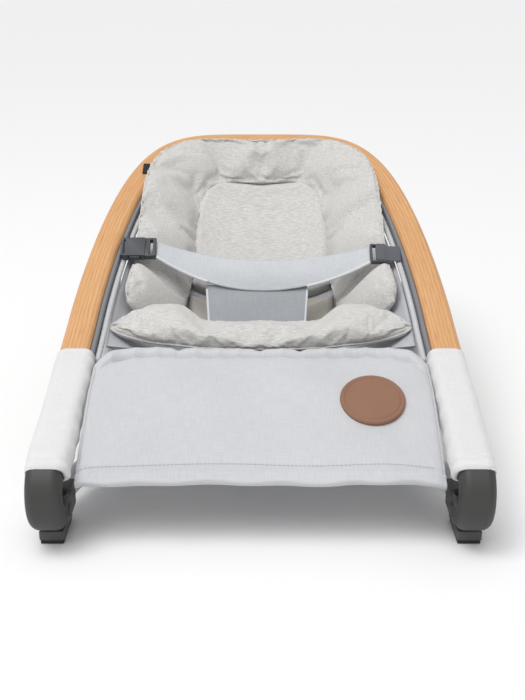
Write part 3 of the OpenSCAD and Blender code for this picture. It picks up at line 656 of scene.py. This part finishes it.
def panel_points():
    """Along x, one closed section each: over the top from rear to front, round the hem and back
    underneath. Height adds the rear roll, its seam and puckers, the side dips and soft creases."""
    x = PANEL_HALF * np.sin(np.linspace(-np.pi / 2, np.pi / 2, 260)) * 0.35 + np.linspace(
        -PANEL_HALF, PANEL_HALF, 260) * 0.65
    rear = panel_rear(x)
    f = np.linspace(0, 1, 130)
    X = x[:, None]
    y = rear[:, None] + (-6 - rear[:, None]) * f[None, :]
    s = rear[:, None] - y
    side = PANEL_HALF - np.abs(X)
    z = smooth(PANEL_ROWS, y)
    z = z + 6.0 * np.sin(np.pi * np.clip(s / ROLL_DEPTH, 0, 1)) ** 0.7 * step(0, 18, side)
    z = z - 5.0 * np.exp(-((s - ROLL_DEPTH) / 3.0) ** 2) * step(4, 30, side)
    gathers = np.abs(np.sin(X / 7.5 + 1.1 * ripple(X / 40, 0, 5)))
    z = z - 2.4 * gathers * np.exp(-((s - 23) / 13) ** 2)
    for centre in PUCKERS:
        z = z - 5.0 * np.exp(-((X - centre) / 6) ** 2 - (s / 24) ** 2)
    z = z - 2.5 * np.exp(-(side / 5.0) ** 2)
    z = z - 1.1 * np.abs(np.sin(y / 8 + ripple(y / 30, X * 0, 9))) * np.exp(-(side / 14) ** 2)
    z = z + 3.0 * ripple(X / 60, y / 46, 12) * step(5, 60, side) + 1.4 * ripple(X / 26, y / 22, 14)
    z = z - 2.6 * np.exp(-((y - 3) / 2.6) ** 2)
    top = np.stack([np.broadcast_to(X, y.shape), y, z], -1)
    a = np.linspace(0, np.pi, 16)[1:-1]
    hem_y = -6 - 5.0 * np.sin(a)[None, :] + 9 * (a / np.pi)[None, :] ** 2
    hem_wave = 1.6 * np.sin(X / 11 + ripple(X / 50, 0, 21)) * np.sin(a)[None, :]
    hem_z = top[:, -1, 2][:, None] + (-11 * (1 - np.cos(a))[None, :] / 2) + 0 * X
    hem = np.stack([np.broadcast_to(X, hem_z.shape), hem_y + hem_wave, hem_z], -1)
    back_y = 3 + (rear[:, None] - 5) * np.linspace(0, 1, 60)[None, :]
    back_z = smooth(PANEL_ROWS, back_y) - 12.0 + 1.0 * ripple(X / 50, back_y / 40, 30)
    back = np.stack([np.broadcast_to(X, back_y.shape), back_y, back_z], -1)
    return np.concatenate([top, hem, back], 1)


panel = grid_mesh("front_panel_cloth", panel_points(), closed_round=True, caps=True, material=cloth)
finish_piece(panel, "seat", "woven_fabric", "front_panel")

# %% [markdown]
# ## The sling
# One piece of strong cloth hangs between the two cord edges and makes the hollow of the seat. Its
# depth below the rails changes along the seat, and across the seat it is a flat-bottomed bowl.

# %% Sling
EDGE_INSET = WOOD_W / 2 + TRIM_W + 9
SAG_ROWS = [[206, 0.2], [250, 0.66], [300, 1], [350, 0.98], [410, 0.87], [455, 0.7], [555, 0.38],
            [598, 0.04]]
SLING_DEPTH, WALL_POWER = 106.0, 2.8


def sling_z(x, y):
    """Rail height - 5 - depth(y) * (1 - (|x| / edge(y))^2.8)."""
    drop = SLING_DEPTH * smooth(SAG_ROWS, y)
    edge = np.maximum(20, edge_x(y, EDGE_INSET))
    return rail_z(y) - 5 - drop * (1 - np.minimum(1, np.abs(x) / edge) ** WALL_POWER)


def on_sling(x, y, h):
    """The point a height h above the sling, measured along the surface's own normal."""
    d = 0.5
    slope_x = (sling_z(x + d, y) - sling_z(x - d, y)) / (2 * d)
    slope_y = (sling_z(x, y + d) - sling_z(x, y - d)) / (2 * d)
    n = np.stack([-slope_x, -slope_y, np.ones_like(slope_x)], -1)
    n /= np.linalg.norm(n, axis=-1, keepdims=True)
    return np.stack([x, y, sling_z(x, y)], -1) + n * np.asarray(h)[..., None]


def sling_slab(y, half, low, high, across, rounding=0.0):
    """Closed section at each y: the top from left to right, then the underside back again. low and
    high may be arrays; rounding draws the top in towards the edges over that distance."""
    f = np.linspace(-1, 1, across)
    X = half[:, None] * f[None, :]
    Y = np.broadcast_to(y[:, None], X.shape)
    top_h = np.broadcast_to(high, X.shape)
    low_h = np.broadcast_to(low, X.shape)
    if rounding:
        edge = np.minimum(half[:, None] - np.abs(X), np.minimum(y - y[0], y[-1] - y)[:, None])
        crown = np.sqrt(np.clip(1 - (1 - np.clip(edge / rounding, 0, 1)) ** 2, 0.02, 1))
        top_h = low_h + (top_h - low_h) * crown
    return np.concatenate([on_sling(X, Y, top_h), on_sling(X, Y, low_h)[:, ::-1]], 1)


sling_y = np.linspace(207, 593.5, 150)
sling_half = edge_x(sling_y, EDGE_INSET)
sling_creases = 0.9 * ripple(sling_y[:, None] / 18, np.linspace(-4, 4, 90)[None, :], 40)
sling = grid_mesh("sling_cloth", sling_slab(sling_y, sling_half, -3.0, sling_creases - 1.2, 90),
                  closed_round=True, caps=True, material=sling_cloth)
finish_piece(sling, "seat", "woven_fabric", "sling")
sling_flat_width = float(np.median(arc_length(on_sling(sling_half[:, None] * np.linspace(-1, 1, 60),
                         sling_y[:, None] + np.zeros(60), np.zeros((150, 60))), 1)[:, -1]))
print("sling flat width", round(sling_flat_width, 3))

# %% [markdown]
# ## Padding by simulation
# Stuffed pieces start a little thin, with their sewn lines held, and are blown up by a cloth
# simulation. Its result is kept as plain vertex positions, capped so no point moves too far.

# %% Inflate a piece
def inflate(piece, hold, pressure=3.0, frames=14, cap=8.0, grow=0.04, stiff=12.0):
    """Cloth with inner pressure and no gravity. hold is 1 where a vertex stays and 0 where it is
    free. New place = old place + movement, its length limited to cap millimetres."""
    scene = bpy.context.scene
    group = piece.vertex_groups.new(name="hold")
    for weight in np.unique(np.round(hold, 1)):
        index = np.flatnonzero(np.round(hold, 1) == weight).tolist()
        if weight > 0:
            group.add(index, float(weight), "REPLACE")
    cloth_mod = piece.modifiers.new("Cloth", "CLOTH")
    settings = cloth_mod.settings
    settings.quality = 5
    settings.mass = 0.3
    settings.tension_stiffness = settings.compression_stiffness = stiff
    settings.shear_stiffness = stiff * 0.6
    settings.bending_stiffness = 0.4
    settings.use_pressure = True
    settings.uniform_pressure_force = pressure
    settings.shrink_min = -grow
    settings.vertex_group_mass = "hold"
    settings.effector_weights.gravity = 0.0
    cloth_mod.collision_settings.use_collision = False
    cloth_mod.point_cache.frame_start, cloth_mod.point_cache.frame_end = 1, frames
    before = np.zeros(len(piece.data.vertices) * 3, np.float32)
    piece.data.vertices.foreach_get("co", before)
    before = before.reshape(-1, 3)
    for number in range(1, frames + 1):
        scene.frame_set(number)
    evaluated = piece.evaluated_get(bpy.context.evaluated_depsgraph_get())
    after = np.zeros(len(before) * 3, np.float32)
    evaluated.data.vertices.foreach_get("co", after)
    move = after.reshape(-1, 3) - before
    size = np.linalg.norm(move, axis=1, keepdims=True)
    limit = cap * MM
    move *= np.minimum(1, limit / np.maximum(size, 1e-9))
    piece.modifiers.remove(cloth_mod)
    piece.vertex_groups.remove(group)
    piece.data.vertices.foreach_set("co", (before + move).ravel())
    piece.data.update()
    scene.frame_set(1)
    print(piece.name, "swelled by up to", round(float(np.minimum(size, limit).max()) * 1000, 1), "mm")


# %% [markdown]
# ## The newborn insert: its surround
# A thick padded horseshoe of melange jersey: wings beside the hips, rising over the head of the
# arch like a pillow. It runs along two outlines, inner and outer, and is full in between.

# %% Insert surround
WING_INNER = (134.0, 97.0, 300.0, 470.0, 577.0)
WING_OUTER = (177.0, 168.0, 294.0, 430.0, 600.0)
PAD_POWER = 4.0


def u_outline(t, tip, half, y0, y1, y2):
    """Horseshoe outline, t from -1 (left tip) to 1: a straight wing for |t| > 1/2, with its half
    width easing from tip to half, then a superellipse over the head."""
    a = np.abs(t)
    side = np.where(t < 0, -1.0, 1.0)
    f = np.minimum(1, (1 - a) / 0.5)
    s = np.clip(1 - 2 * a, 0, 1)
    angle = np.pi / 2 * s * s * (3 - 2 * s)
    wing = a > 0.5
    x = np.where(wing, half + (tip - half) * (1 - f) ** 2, half * np.cos(angle) ** (2 / PAD_POWER))
    y = np.where(wing, y0 + (y1 - y0) * f, y1 + (y2 - y1) * np.sin(angle) ** (2 / PAD_POWER))
    return side * x, y


def surround_points(rows=260, around=64, height=23.0):
    """mid + across * cos^0.8 + up * height/2 * (0.9 + sin^0.8), the height closing at the tips. The
    outer edge lies lower where the buckle and the adjuster press on it."""
    t = np.linspace(-0.9995, 0.9995, rows)
    xi, yi = u_outline(t, *WING_INNER)
    xo, yo = u_outline(t, *WING_OUTER)
    low = on_sling(xi, yi, np.full(rows, 4.0))
    dip = step(1, 0, np.abs(yo - 370) / 36) * np.where(t > 0, 1.2, 1.0)
    high = np.stack([xo, yo, rail_z(yo) + 3 + 18 * step(430, 500, yo) - 17 * dip], -1)
    mid, across = (low + high) / 2, (high - low) / 2
    flat = np.stack([-across[:, 1], across[:, 0], np.zeros(rows)], 1)
    up = np.cross(across, flat)
    up *= np.sign(up[:, 2:3])
    up /= np.linalg.norm(up, axis=1, keepdims=True)
    close = np.sqrt(np.clip(1 - step(0.93, 1.0, np.abs(t)) ** 2, 0.05, 1))[:, None, None]
    a = np.linspace(0, 2 * np.pi, around, endpoint=False)[None, :, None]
    c, s = spow(np.cos(a), 0.75), spow(np.sin(a), 0.8)
    crown = 1 + 0.3 * c * (s > 0)
    size = (height / 2 * (1 - 0.25 * dip))[:, None, None]
    return (mid[:, None] + across[:, None] * c * (0.55 + 0.45 * close)
            + up[:, None] * size * (0.9 + s * crown) * close)


surround_grid = surround_points()
surround = grid_mesh("insert_surround_pad", surround_grid, closed_round=True, caps=True, material=melange)
ring_angle = np.tile(np.linspace(0, 2 * np.pi, 64, endpoint=False), len(surround_grid))
held = np.clip(1.2 - 6 * np.minimum(np.abs(ring_angle), np.abs(ring_angle - np.pi)), 0, 1)
held[ring_angle > np.pi] = 1.0
inflate(surround, np.concatenate([held, [1, 1]]), pressure=4.0, cap=7.0, grow=0.06)
finish_piece(surround, "seat", "melange_jersey", "insert_surround")

# %% [markdown]
# ## The inset back and the seat panel
# The back is a softly crowned jersey pad that fills the horseshoe, and the seat panel below it is
# a darker cloth that lies on the sling.

# %% Inset back and seat panel
INSET_HALF = WING_INNER[1] + 2.0
back_y = 410 + 168.5 * np.sin(np.linspace(0.05, np.pi / 2, 110)) ** 0.9
head_part = np.clip((back_y - WING_INNER[3]) / (WING_INNER[4] + 2 - WING_INNER[3]), 0, 0.999)
back_half = INSET_HALF * (1 - head_part ** PAD_POWER) ** (1 / PAD_POWER)
inset = grid_mesh("insert_back_pad", sling_slab(back_y, back_half, 1.0, 17.0, 80, rounding=10.0),
                  closed_round=True, caps=True, material=melange)
finish_piece(inset, "seat", "melange_jersey", "insert_back")
seat_y = np.linspace(286, 409, 70)
seat_pad = grid_mesh("seat_panel_pad", sling_slab(seat_y, np.full(70, 98.0), 1.0, 11.0, 70, rounding=9.0),
                     closed_round=True, caps=True, material=seat_cloth)
finish_piece(seat_pad, "seat", "seat_mesh", "seat_pad")

# %% [markdown]
# ## The crescent cushion
# It lies across the front of the seat, with a lobe under each thigh. Its top is jersey, and a
# woven gusset band closes its front below a sewn line.

# %% Crescent cushion
CUSHION_HALF = 180.0


def cushion_shape(x):
    """Front and rear edge, middle height and half thickness at x, with the closing of the ends."""
    f = np.abs(x) / CUSHION_HALF
    lobe = step(62, 104, np.abs(x))
    end = np.sqrt(np.clip(1 - f ** 7, 0.0, 1)) * 0.97 + 0.03
    front = 205 + 24 * f ** 2
    rear = 261 + 29 * lobe - 42 * step(0.7, 1, f)
    middle = 145 + 5 * lobe + 3 * f ** 6
    thick = 13 + 4 * lobe
    return (front + rear) / 2, (rear - front) / 2 * end, middle, thick * end


def cushion_points(columns=200, around=72):
    x = CUSHION_HALF * np.sin(np.linspace(-np.pi / 2, np.pi / 2, columns)) * 0.9995
    centre_y, depth, centre_z, thick = (v[:, None] for v in cushion_shape(x))
    a = np.linspace(0, 2 * np.pi, around, endpoint=False)[None, :]
    c, s = spow(np.cos(a), 0.7), spow(np.sin(a), 0.85)
    y = centre_y + depth * c
    z = centre_z + thick * s + 0.12 * depth * np.cos(a)
    return np.stack([np.broadcast_to(x[:, None], y.shape), y, z], -1)


cushion_grid = cushion_points()
cushion = grid_mesh("front_cushion", cushion_grid, closed_round=True, caps=True, material=melange)
ring = np.tile(np.linspace(0, 2 * np.pi, 72, endpoint=False), len(cushion_grid))
seam = np.abs(ring - 1.13 * np.pi)
held = np.where(ring > 1.13 * np.pi, 1.0, np.clip(1 - 4 * np.minimum(seam, ring), 0, 1))
inflate(cushion, np.concatenate([held, [1, 1]]), pressure=4.0, cap=5.0, grow=0.05)
finish_piece(cushion, "seat", "melange_jersey", "seat_cushion")

# %% [markdown]
# ## The lap belt
# A T of doubled cloth. Its band runs between the buckles and its neck drops to the seat. Both are
# thin closed shells with soft creases, and their free edges are bound with a narrow tape.

# %% Lap belt
BELT_HALF, BELT_X, NECK_X = 138.0, 3.0, -5.0
RIGHT_DROP = np.array([0.0, -4.0, -6.0])


def belt_surface(x, f):
    """A point of the band: f from 0 at its top edge to 1 at its lower one, both edges rising as
    (x / half)^2 towards the buckles; creases stand along the band's front-up normal."""
    q = (np.abs(x) / BELT_HALF) ** 2
    top = np.stack([x, 375 + 8 * q, 195 + 23 * q], -1)
    low = np.stack([x, 345 + 17 * q, 163 + 41 * q], -1)
    point = top + (low - top) * f[..., None]
    lift = 2.6 * np.sin(np.pi * f) * (1 - q) + 1.6 * ripple(x / 34, f * 2.2, 51) * np.sin(np.pi * f) ** 0.5
    drop = RIGHT_DROP * ((np.maximum(0, x) / BELT_HALF) ** 2)[..., None]
    return point + np.array([0.0, -0.7, 0.71]) * lift[..., None] + drop + np.array([BELT_X, 0, 0])


def thin_shell(face, thickness):
    """Closed sections from a sheet of points: the face, and the same face set back by thickness."""
    n = normals_of(face)
    return np.concatenate([face, (face - n * thickness)[:, ::-1]], 1)


bx, bf = np.meshgrid(np.linspace(-BELT_HALF, BELT_HALF, 150), np.linspace(0, 1, 30), indexing="ij")
band = grid_mesh("belt_band", thin_shell(belt_surface(bx, bf), 3.0), closed_round=True, caps=True,
                 material=belt_cloth)
finish_piece(band, "seat", "woven_fabric", "belt")


def neck_surface(v, u):
    """The neck: v runs from 0 under the band to 1 at the seat, u from -1 to 1 across. Its width
    narrows a little and a hollow forms across it where it bends over the lap."""
    y = 354 - 68 * v
    z = 170.5 - 64.5 * v + 5 * np.sin(np.pi * v) * (1 - u ** 2) - 2.5
    x = u * (65 - 7 * v) + NECK_X
    lift = 2.2 * ripple(u * 2.0, v * 3.5, 61) * np.sin(np.pi * np.clip(v, 0.05, 0.95))
    return np.stack([x, y - 0.7 * lift, z + 0.7 * lift], -1)


nu, nv = np.meshgrid(np.linspace(-1, 1, 60), np.linspace(0, 1, 60), indexing="ij")
neck = grid_mesh("belt_neck", thin_shell(neck_surface(nv, nu), 3.0), closed_round=True, caps=True,
                 material=neck_cloth_painted_shade)
finish_piece(neck, "seat", "woven_fabric")

# %% Tubes along a path, for bindings and thread
def tube(name, path, radius, material, sides=8, flatten=1.0, face=None):
    """A round or flattened section carried along a path of points, closed with caps. Axes: t along
    the path, b = t x face, n = b x t."""
    path = np.asarray(path, float)
    t = np.gradient(path, axis=0)
    t /= np.linalg.norm(t, axis=1, keepdims=True)
    face = np.tile([0.0, 0.0, 1.0], (len(path), 1)) if face is None else face
    b = np.cross(t, face)
    b /= np.maximum(np.linalg.norm(b, axis=1, keepdims=True), 1e-9)
    n = np.cross(b, t)
    a = np.linspace(0, 2 * np.pi, sides, endpoint=False)
    ring = path[:, None] + radius * (n[:, None] * flatten * np.cos(a)[None, :, None]
                                     + np.cross(t, n)[:, None] * np.sin(a)[None, :, None])
    return grid_mesh(name, ring, closed_round=True, caps=True, material=material)


binding_tone = woven("binding_tape", srgb(224, 226, 229), srgb(196, 199, 203), threads=1600.0)
for label, x0, x1 in (("left", -BELT_HALF, -72.0), ("right", 56.0, BELT_HALF)):
    x = np.linspace(x0, x1, 60)
    edge = belt_surface(x, np.ones(60)) + np.array([0, 0.2, -0.4])
    finish_piece(tube("belt_binding_" + label, edge, 2.1, binding_tone), "seat", "woven_fabric")
for label, u in (("left", -1.0), ("right", 1.0)):
    edge = neck_surface(np.linspace(0.06, 1, 50), np.full(50, u)) + np.array([0, 1.0, -1.0])
    finish_piece(tube("neck_binding_" + label, edge, 1.9, binding_tone), "seat", "woven_fabric")

# %% [markdown]
# ## Sewn edges
# Seams are read from the pieces as they lie after their padding swelled. The cushion's front gets a
# woven gusset band below a cord, and the surround a cord along its outer edge. Rows of thread are
# short capsules laid along a path.

# %% Gusset, cords and stitches
def settled(piece, rows, around):
    """The grid of a finished piece, back in millimetres from the front foot."""
    flat = np.zeros(len(piece.data.vertices) * 3, np.float32)
    piece.data.vertices.foreach_get("co", flat)
    grid = flat.reshape(-1, 3)[:rows * around].reshape(rows, around, 3).astype(float)
    return (grid - np.array([0.0, FOOT_Y, 0.0])) / MM


def outward_of(grid):
    """Unit directions away from the middle of each ring."""
    out = grid - grid.mean(1, keepdims=True)
    return out / np.maximum(np.linalg.norm(out, axis=2, keepdims=True), 1e-6)


now = settled(cushion, len(cushion_grid), 72)
away = outward_of(now)
keep = slice(7, len(now) - 7)
band_x = now[keep, 41:55, 0]
tucks = 0.7 * np.abs(np.sin(band_x / 8 + 1.5 * ripple(band_x / 40, 0, 71)))
gusset_face = now[keep, 41:55] + away[keep, 41:55] * (0.9 + tucks)[..., None]
gusset = grid_mesh("cushion_gusset", thin_shell(gusset_face, 1.2), closed_round=True, caps=True,
                   material=cloth)
finish_piece(gusset, "seat", "woven_fabric")
finish_piece(tube("cushion_cord", now[3:-3, 41] + away[3:-3, 41] * 0.9, 1.3, melange), "seat",
             "melange_jersey")
now = settled(surround, len(surround_grid), 64)
away = outward_of(now)
finish_piece(tube("surround_cord", now[2:-2, 1] + away[2:-2, 1] * 0.2, 1.1, melange), "seat",
             "melange_jersey")


def stitches(name, path, dash=2.6, pitch=4.2, radius=0.42, material=thread):
    """One mesh of short capsules: along the path, one dash in every pitch of length."""
    path = np.asarray(path, float)
    run = np.concatenate([[0], np.cumsum(np.linalg.norm(np.diff(path, axis=0), axis=1))])
    starts = np.arange(1.0, run[-1] - pitch, pitch)
    at = starts[:, None] + dash * np.array([0.0, 0.15, 0.85, 1.0])[None, :]
    middle = np.stack([np.interp(at, run, path[:, c]) for c in range(3)], -1)
    t = middle[:, -1] - middle[:, 0]
    t /= np.linalg.norm(t, axis=1, keepdims=True)
    b = np.cross(t, [0.0, 0.0, 1.0])
    b /= np.maximum(np.linalg.norm(b, axis=1, keepdims=True), 1e-6)
    n = np.cross(b, t)
    a = np.linspace(0, 2 * np.pi, 6, endpoint=False)
    size = radius * np.array([0.3, 1.0, 1.0, 0.3])
    ring = (middle[:, :, None] + size[None, :, None, None]
            * (n[:, None, None] * np.cos(a)[None, None, :, None]
               + b[:, None, None] * np.sin(a)[None, None, :, None]))
    count = len(starts)
    points = place(ring.reshape(-1, 3))
    base = np.arange(count)[:, None, None] * 24 + np.arange(3)[None, :, None] * 6
    j = np.arange(6)[None, None, :]
    k2 = (np.arange(6) + 1)[None, None, :] % 6
    quads = np.stack([base + j, base + k2, base + 6 + k2, base + 6 + j], -1).reshape(-1, 4)
    first = (np.arange(count)[:, None] * 24 + np.arange(5, -1, -1)[None, :])
    last = (np.arange(count)[:, None] * 24 + 18 + np.arange(6)[None, :])
    mesh = bpy.data.meshes.new(name)
    mesh.from_pydata(points.tolist(), [], quads.tolist() + first.tolist() + last.tolist())
    mesh.materials.append(material)
    mesh.update()
    piece = bpy.data.objects.new(name, mesh)
    bpy.context.scene.collection.objects.link(piece)
    return finish_piece(piece, "seat", "woven_fabric")


panel_grid = panel_points()
for label, x0, x1 in (("left", -102.0, -82.0), ("middle", -74.0, -4.0), ("right", 56.0, 146.0)):
    x = np.linspace(x0, x1, 80)
    column = [int(np.argmin(np.abs(panel_grid[:, 0, 0] - v))) for v in x]
    seam_y = panel_rear(x) - ROLL_DEPTH
    row = [int(np.argmin(np.abs(panel_grid[c, :130, 1] - y))) for c, y in zip(column, seam_y)]
    stitches("roll_stitches_" + label, panel_grid[column, row][::3] + np.array([0, 0, 0.4]))
for label, end in (("left", 3), ("right", -4)):
    stitches("hem_side_" + label, panel_grid[end, 8:128:3] + np.array([0, 0, 0.5]))
stitches("hem_front", panel_grid[4:-4:4, 121] + np.array([0, 0, 0.5]))
print("seams and stitches laid")

# %% [markdown]
# ## Buckle, adjuster and straps
# The hard parts keep the frame's exact shapes. A copy of each has its doubled points merged and its
# edges rounded with a bevel, as moulded plastic comes from its tool.

# %% Moulded parts with rounded edges
def rounded_copy(node, width, slot, material, body="seat"):
    """A copy of a frame part with merged points and bevelled edges, which stands for that part."""
    source = frame["nodes"][node]
    mesh = source.data.copy()
    piece = bpy.data.objects.new(node + "_moulded", mesh)
    bpy.context.scene.collection.objects.link(piece)
    mesh.materials.clear()
    mesh.materials.append(material)
    weld = piece.modifiers.new("Weld", "WELD")
    weld.merge_threshold = 0.00002
    tidy = piece.modifiers.new("Flat faces", "DECIMATE")
    tidy.decimate_type = "DISSOLVE"
    tidy.angle_limit = math.radians(1.0)
    bevel = piece.modifiers.new("Bevel", "BEVEL")
    bevel.width = width * MM
    bevel.segments = 2
    bevel.limit_method = "ANGLE"
    bevel.angle_limit = math.radians(35)
    bevel.harden_normals = False
    evaluated = piece.evaluated_get(bpy.context.evaluated_depsgraph_get())
    baked = bpy.data.meshes.new_from_object(evaluated)
    piece.modifiers.clear()
    piece.data = baked
    baked.polygons.foreach_set("use_smooth", np.ones(len(baked.polygons), bool))
    baked.set_sharp_from_angle(angle=math.radians(32))
    return finish_piece(piece, body, slot, node)


for node in ("buckle_socket", "buckle_tongue", "adjuster"):
    rounded_copy(node, 0.9, "buckle_plastic", buckle_plastic)
rounded_copy("release_tab_front", 0.9, "buckle_plastic", buckle_plastic, "tab_front")
rounded_copy("release_tab_back", 0.9, "buckle_plastic", buckle_plastic, "tab_back")
for side in ("left", "right"):
    rounded_copy("clevis_" + side, 1.4, "dark_plastic", dark_plastic, "base")
    rounded_copy("foot_" + side, 1.6, "dark_plastic", dark_plastic, "base")
    rounded_copy("rear_joint_" + side, 2.0, "dark_plastic", dark_plastic, "base")
    rounded_copy("knee_saddle_" + side, 1.2, "dark_plastic", dark_plastic)
    rounded_copy("slot_bracket_" + side, 0.8, "dark_plastic", dark_plastic)
    rounded_copy("sole_" + side, 1.0, "sole_rubber", rubber, "base")

# %% Straps
BUCKLE_Y, BUCKLE_Z, TILT = 372.5, 211.5, math.radians(34)
WIDE = np.array([0.0, math.cos(TILT), math.sin(TILT)])
FACE = np.array([0.0, -math.sin(TILT), math.cos(TILT)])
BUCKLE_MIDDLE = np.array([BELT_X, BUCKLE_Y, BUCKLE_Z])


def strap(name, path, width, thickness, material, shift=np.zeros(3)):
    """Flat webbing: a rounded 2-D section, width by thickness, carried along (x, height) points of
    the buckle's own plane."""
    path = np.asarray(path, float)
    x, h = path[:, 0], path[:, 1]
    t = np.stack([np.gradient(x), np.gradient(h)], 1)
    t /= np.linalg.norm(t, axis=1, keepdims=True)
    section = round_rect(width, thickness, thickness * 0.45, 4)
    middle = BUCKLE_MIDDLE + shift + x[:, None] * np.array([1.0, 0, 0]) + h[:, None] * FACE
    normal = t[:, :1] * FACE - t[:, 1:] * np.array([1.0, 0, 0])
    ring = middle[:, None] + WIDE * section[None, :, :1] + normal[:, None] * section[None, :, 1:]
    return grid_mesh(name, ring[:, ::-1], closed_round=True, caps=True, material=material)


bow = np.linspace(0, 1, 40)
right_path = np.stack([BELT_HALF + 8 + 31.5 * bow, 3.4 - 2.6 * step(0.2, 0.6, bow) - 0.6 * bow], 1)
finish_piece(strap("strap_right_webbing", right_path, 25.0, 1.7, webbing, RIGHT_DROP), "seat",
             "dark_webbing", "strap_right")
left_path = np.stack([-184.8 + 4.0 * bow, 2.0 + 0 * bow], 1)
finish_piece(strap("strap_left_webbing", left_path, 25.0, 1.7, webbing), "seat", "dark_webbing",
             "strap_left")

# %% Head strap
head_strap = rounded_copy("head_strap", 0.5, "dark_webbing", black_cloth)
for vertex in head_strap.data.vertices:
    vertex.co.x += 0.009
print("head strap set against the pad")

# %% [markdown]
# ## The leather badge
# A round brown patch with a raised rim, pressed rings and a circle of pressed dots, and a plain middle.
# It is a disc of rings whose height is a function of the distance and angle from its middle.

# %% Leather badge
BADGE_X, BADGE_Y, BADGE_R = 120.0, 84.0, 35.0
BADGE_ROUNDING = 1.4
BADGE_FLAT = BADGE_R - BADGE_ROUNDING


def badge_points():
    edge = BADGE_FLAT + BADGE_ROUNDING * np.sin(np.linspace(0, np.pi / 2, 8))
    r = np.concatenate([np.linspace(0.05, BADGE_FLAT, 120), edge])
    a = np.linspace(0, 2 * np.pi, 300, endpoint=False)
    R, A = np.meshgrid(r, a, indexing="ij")
    px, py = R * np.cos(A), R * np.sin(A)
    height = 2.6 - BADGE_ROUNDING * step(BADGE_FLAT, BADGE_R, R) ** 2
    height = height - 0.55 * np.exp(-((R - 30.2) / 0.5) ** 2) - 0.35 * np.exp(-((R - 28.6) / 0.35) ** 2)
    dots = np.clip(np.cos(A * 30), 0, 1) ** 2 * np.exp(-((R - 24.5) / 1.1) ** 2)
    height = height - 0.4 * dots
    top = np.stack([px, py, height], -1)
    rim = top[-1:].copy()
    rim[..., 2] = -2.0
    return np.concatenate([top, rim])


slope = math.atan(float(smooth(PANEL_ROWS, BADGE_Y + 5) - smooth(PANEL_ROWS, BADGE_Y - 5)) / 10)
badge_local = badge_points()
badge_z = float(smooth(PANEL_ROWS, BADGE_Y)) + 1.5
across_axis = np.array([1.0, 0, 0])
up_slope = np.array([0, math.cos(slope), math.sin(slope)])
out_axis = np.array([0, -math.sin(slope), math.cos(slope)])
badge_grid = (np.array([BADGE_X, BADGE_Y, badge_z]) + badge_local[..., :1] * across_axis
              + badge_local[..., 1:2] * up_slope + badge_local[..., 2:] * out_axis)
badge = grid_mesh("leather_badge_disc", badge_grid[::-1], closed_round=True, caps=True, material=leather)
finish_piece(badge, "seat", "badge_leather", "leather_badge")

# %% [markdown]
# ## Finishes for the frame's own parts
# Tubes, pins, elbows and pads keep their shapes and take a finish of their own.

# %% Frame finishes
BOTH_SIDES = {"elbow": elbow_plastic, "lug": dark_plastic, "rear_pad": rubber, "runner": tube_paint,
              "leg": tube_paint, "hinge_pin": dark_plastic, "lug_pin": steel, "slide_pin": steel}
FINISHES = {part + end: material for part, material in BOTH_SIDES.items() for end in ("_left", "_right")}
FINISHES.update(rear_bar=tube_paint, knee_tube=tube_paint)
for node, material in FINISHES.items():
    mesh = frame["nodes"][node].data
    mesh.materials.clear()
    mesh.materials.append(material)
print("finished", len(FINISHES), "frame parts")

# %% [markdown]
# ## Floor and light
# A plain white floor and soft studio light: a bright sky, a wide soft sun high over the front and
# one large lamp at the front left.

# %% Floor and light
floor_material, k, shader = new_material("floor_white", rough=0.9, specular=0.1)
shader.inputs["Base Color"].default_value = (0.9, 0.9, 0.9, 1.0)
floor_mesh = bpy.data.meshes.new("floor")
reach = 30.0
floor_mesh.from_pydata([(-reach, -reach, 0), (reach, -reach, 0), (reach, reach, 0), (-reach, reach, 0)],
                       [], [(0, 1, 2, 3)])
floor_mesh.materials.append(floor_material)
floor = bpy.data.objects.new("floor", floor_mesh)
bpy.context.scene.collection.objects.link(floor)

world = bpy.data.worlds.new("studio")
bpy.context.scene.world = world
world.use_nodes = True
world.node_tree.nodes["Background"].inputs["Color"].default_value = (1.0, 1.0, 1.0, 1.0)
world.node_tree.nodes["Background"].inputs["Strength"].default_value = 0.56


def lamp(name, place_at, look_at, size, power):
    """A square area lamp that faces a point."""
    data = bpy.data.lights.new(name, "AREA")
    data.size = size
    data.energy = power
    lamp_object = bpy.data.objects.new(name, data)
    bpy.context.scene.collection.objects.link(lamp_object)
    lamp_object.location = place_at
    away = np.array(look_at) - np.array(place_at)
    lamp_object.rotation_euler = (math.atan2(math.hypot(away[0], away[1]), -away[2]), 0,
                                  math.atan2(away[1], away[0]) - math.pi / 2)


lamp("key", (-0.9, -0.9, 2.4), (0, -0.1, 0.15), 1.0, 14)
sun_data = bpy.data.lights.new("soft_sun", "SUN")
sun_data.energy = 1.45
sun_data.angle = math.radians(50)
sun = bpy.data.objects.new("soft_sun", sun_data)
sun.rotation_euler = (math.radians(24), 0, math.radians(-32))
bpy.context.scene.collection.objects.link(sun)
scene = bpy.context.scene
scene.view_settings.view_transform = "Standard"
print("lit with", len(bpy.data.lights), "lamps")
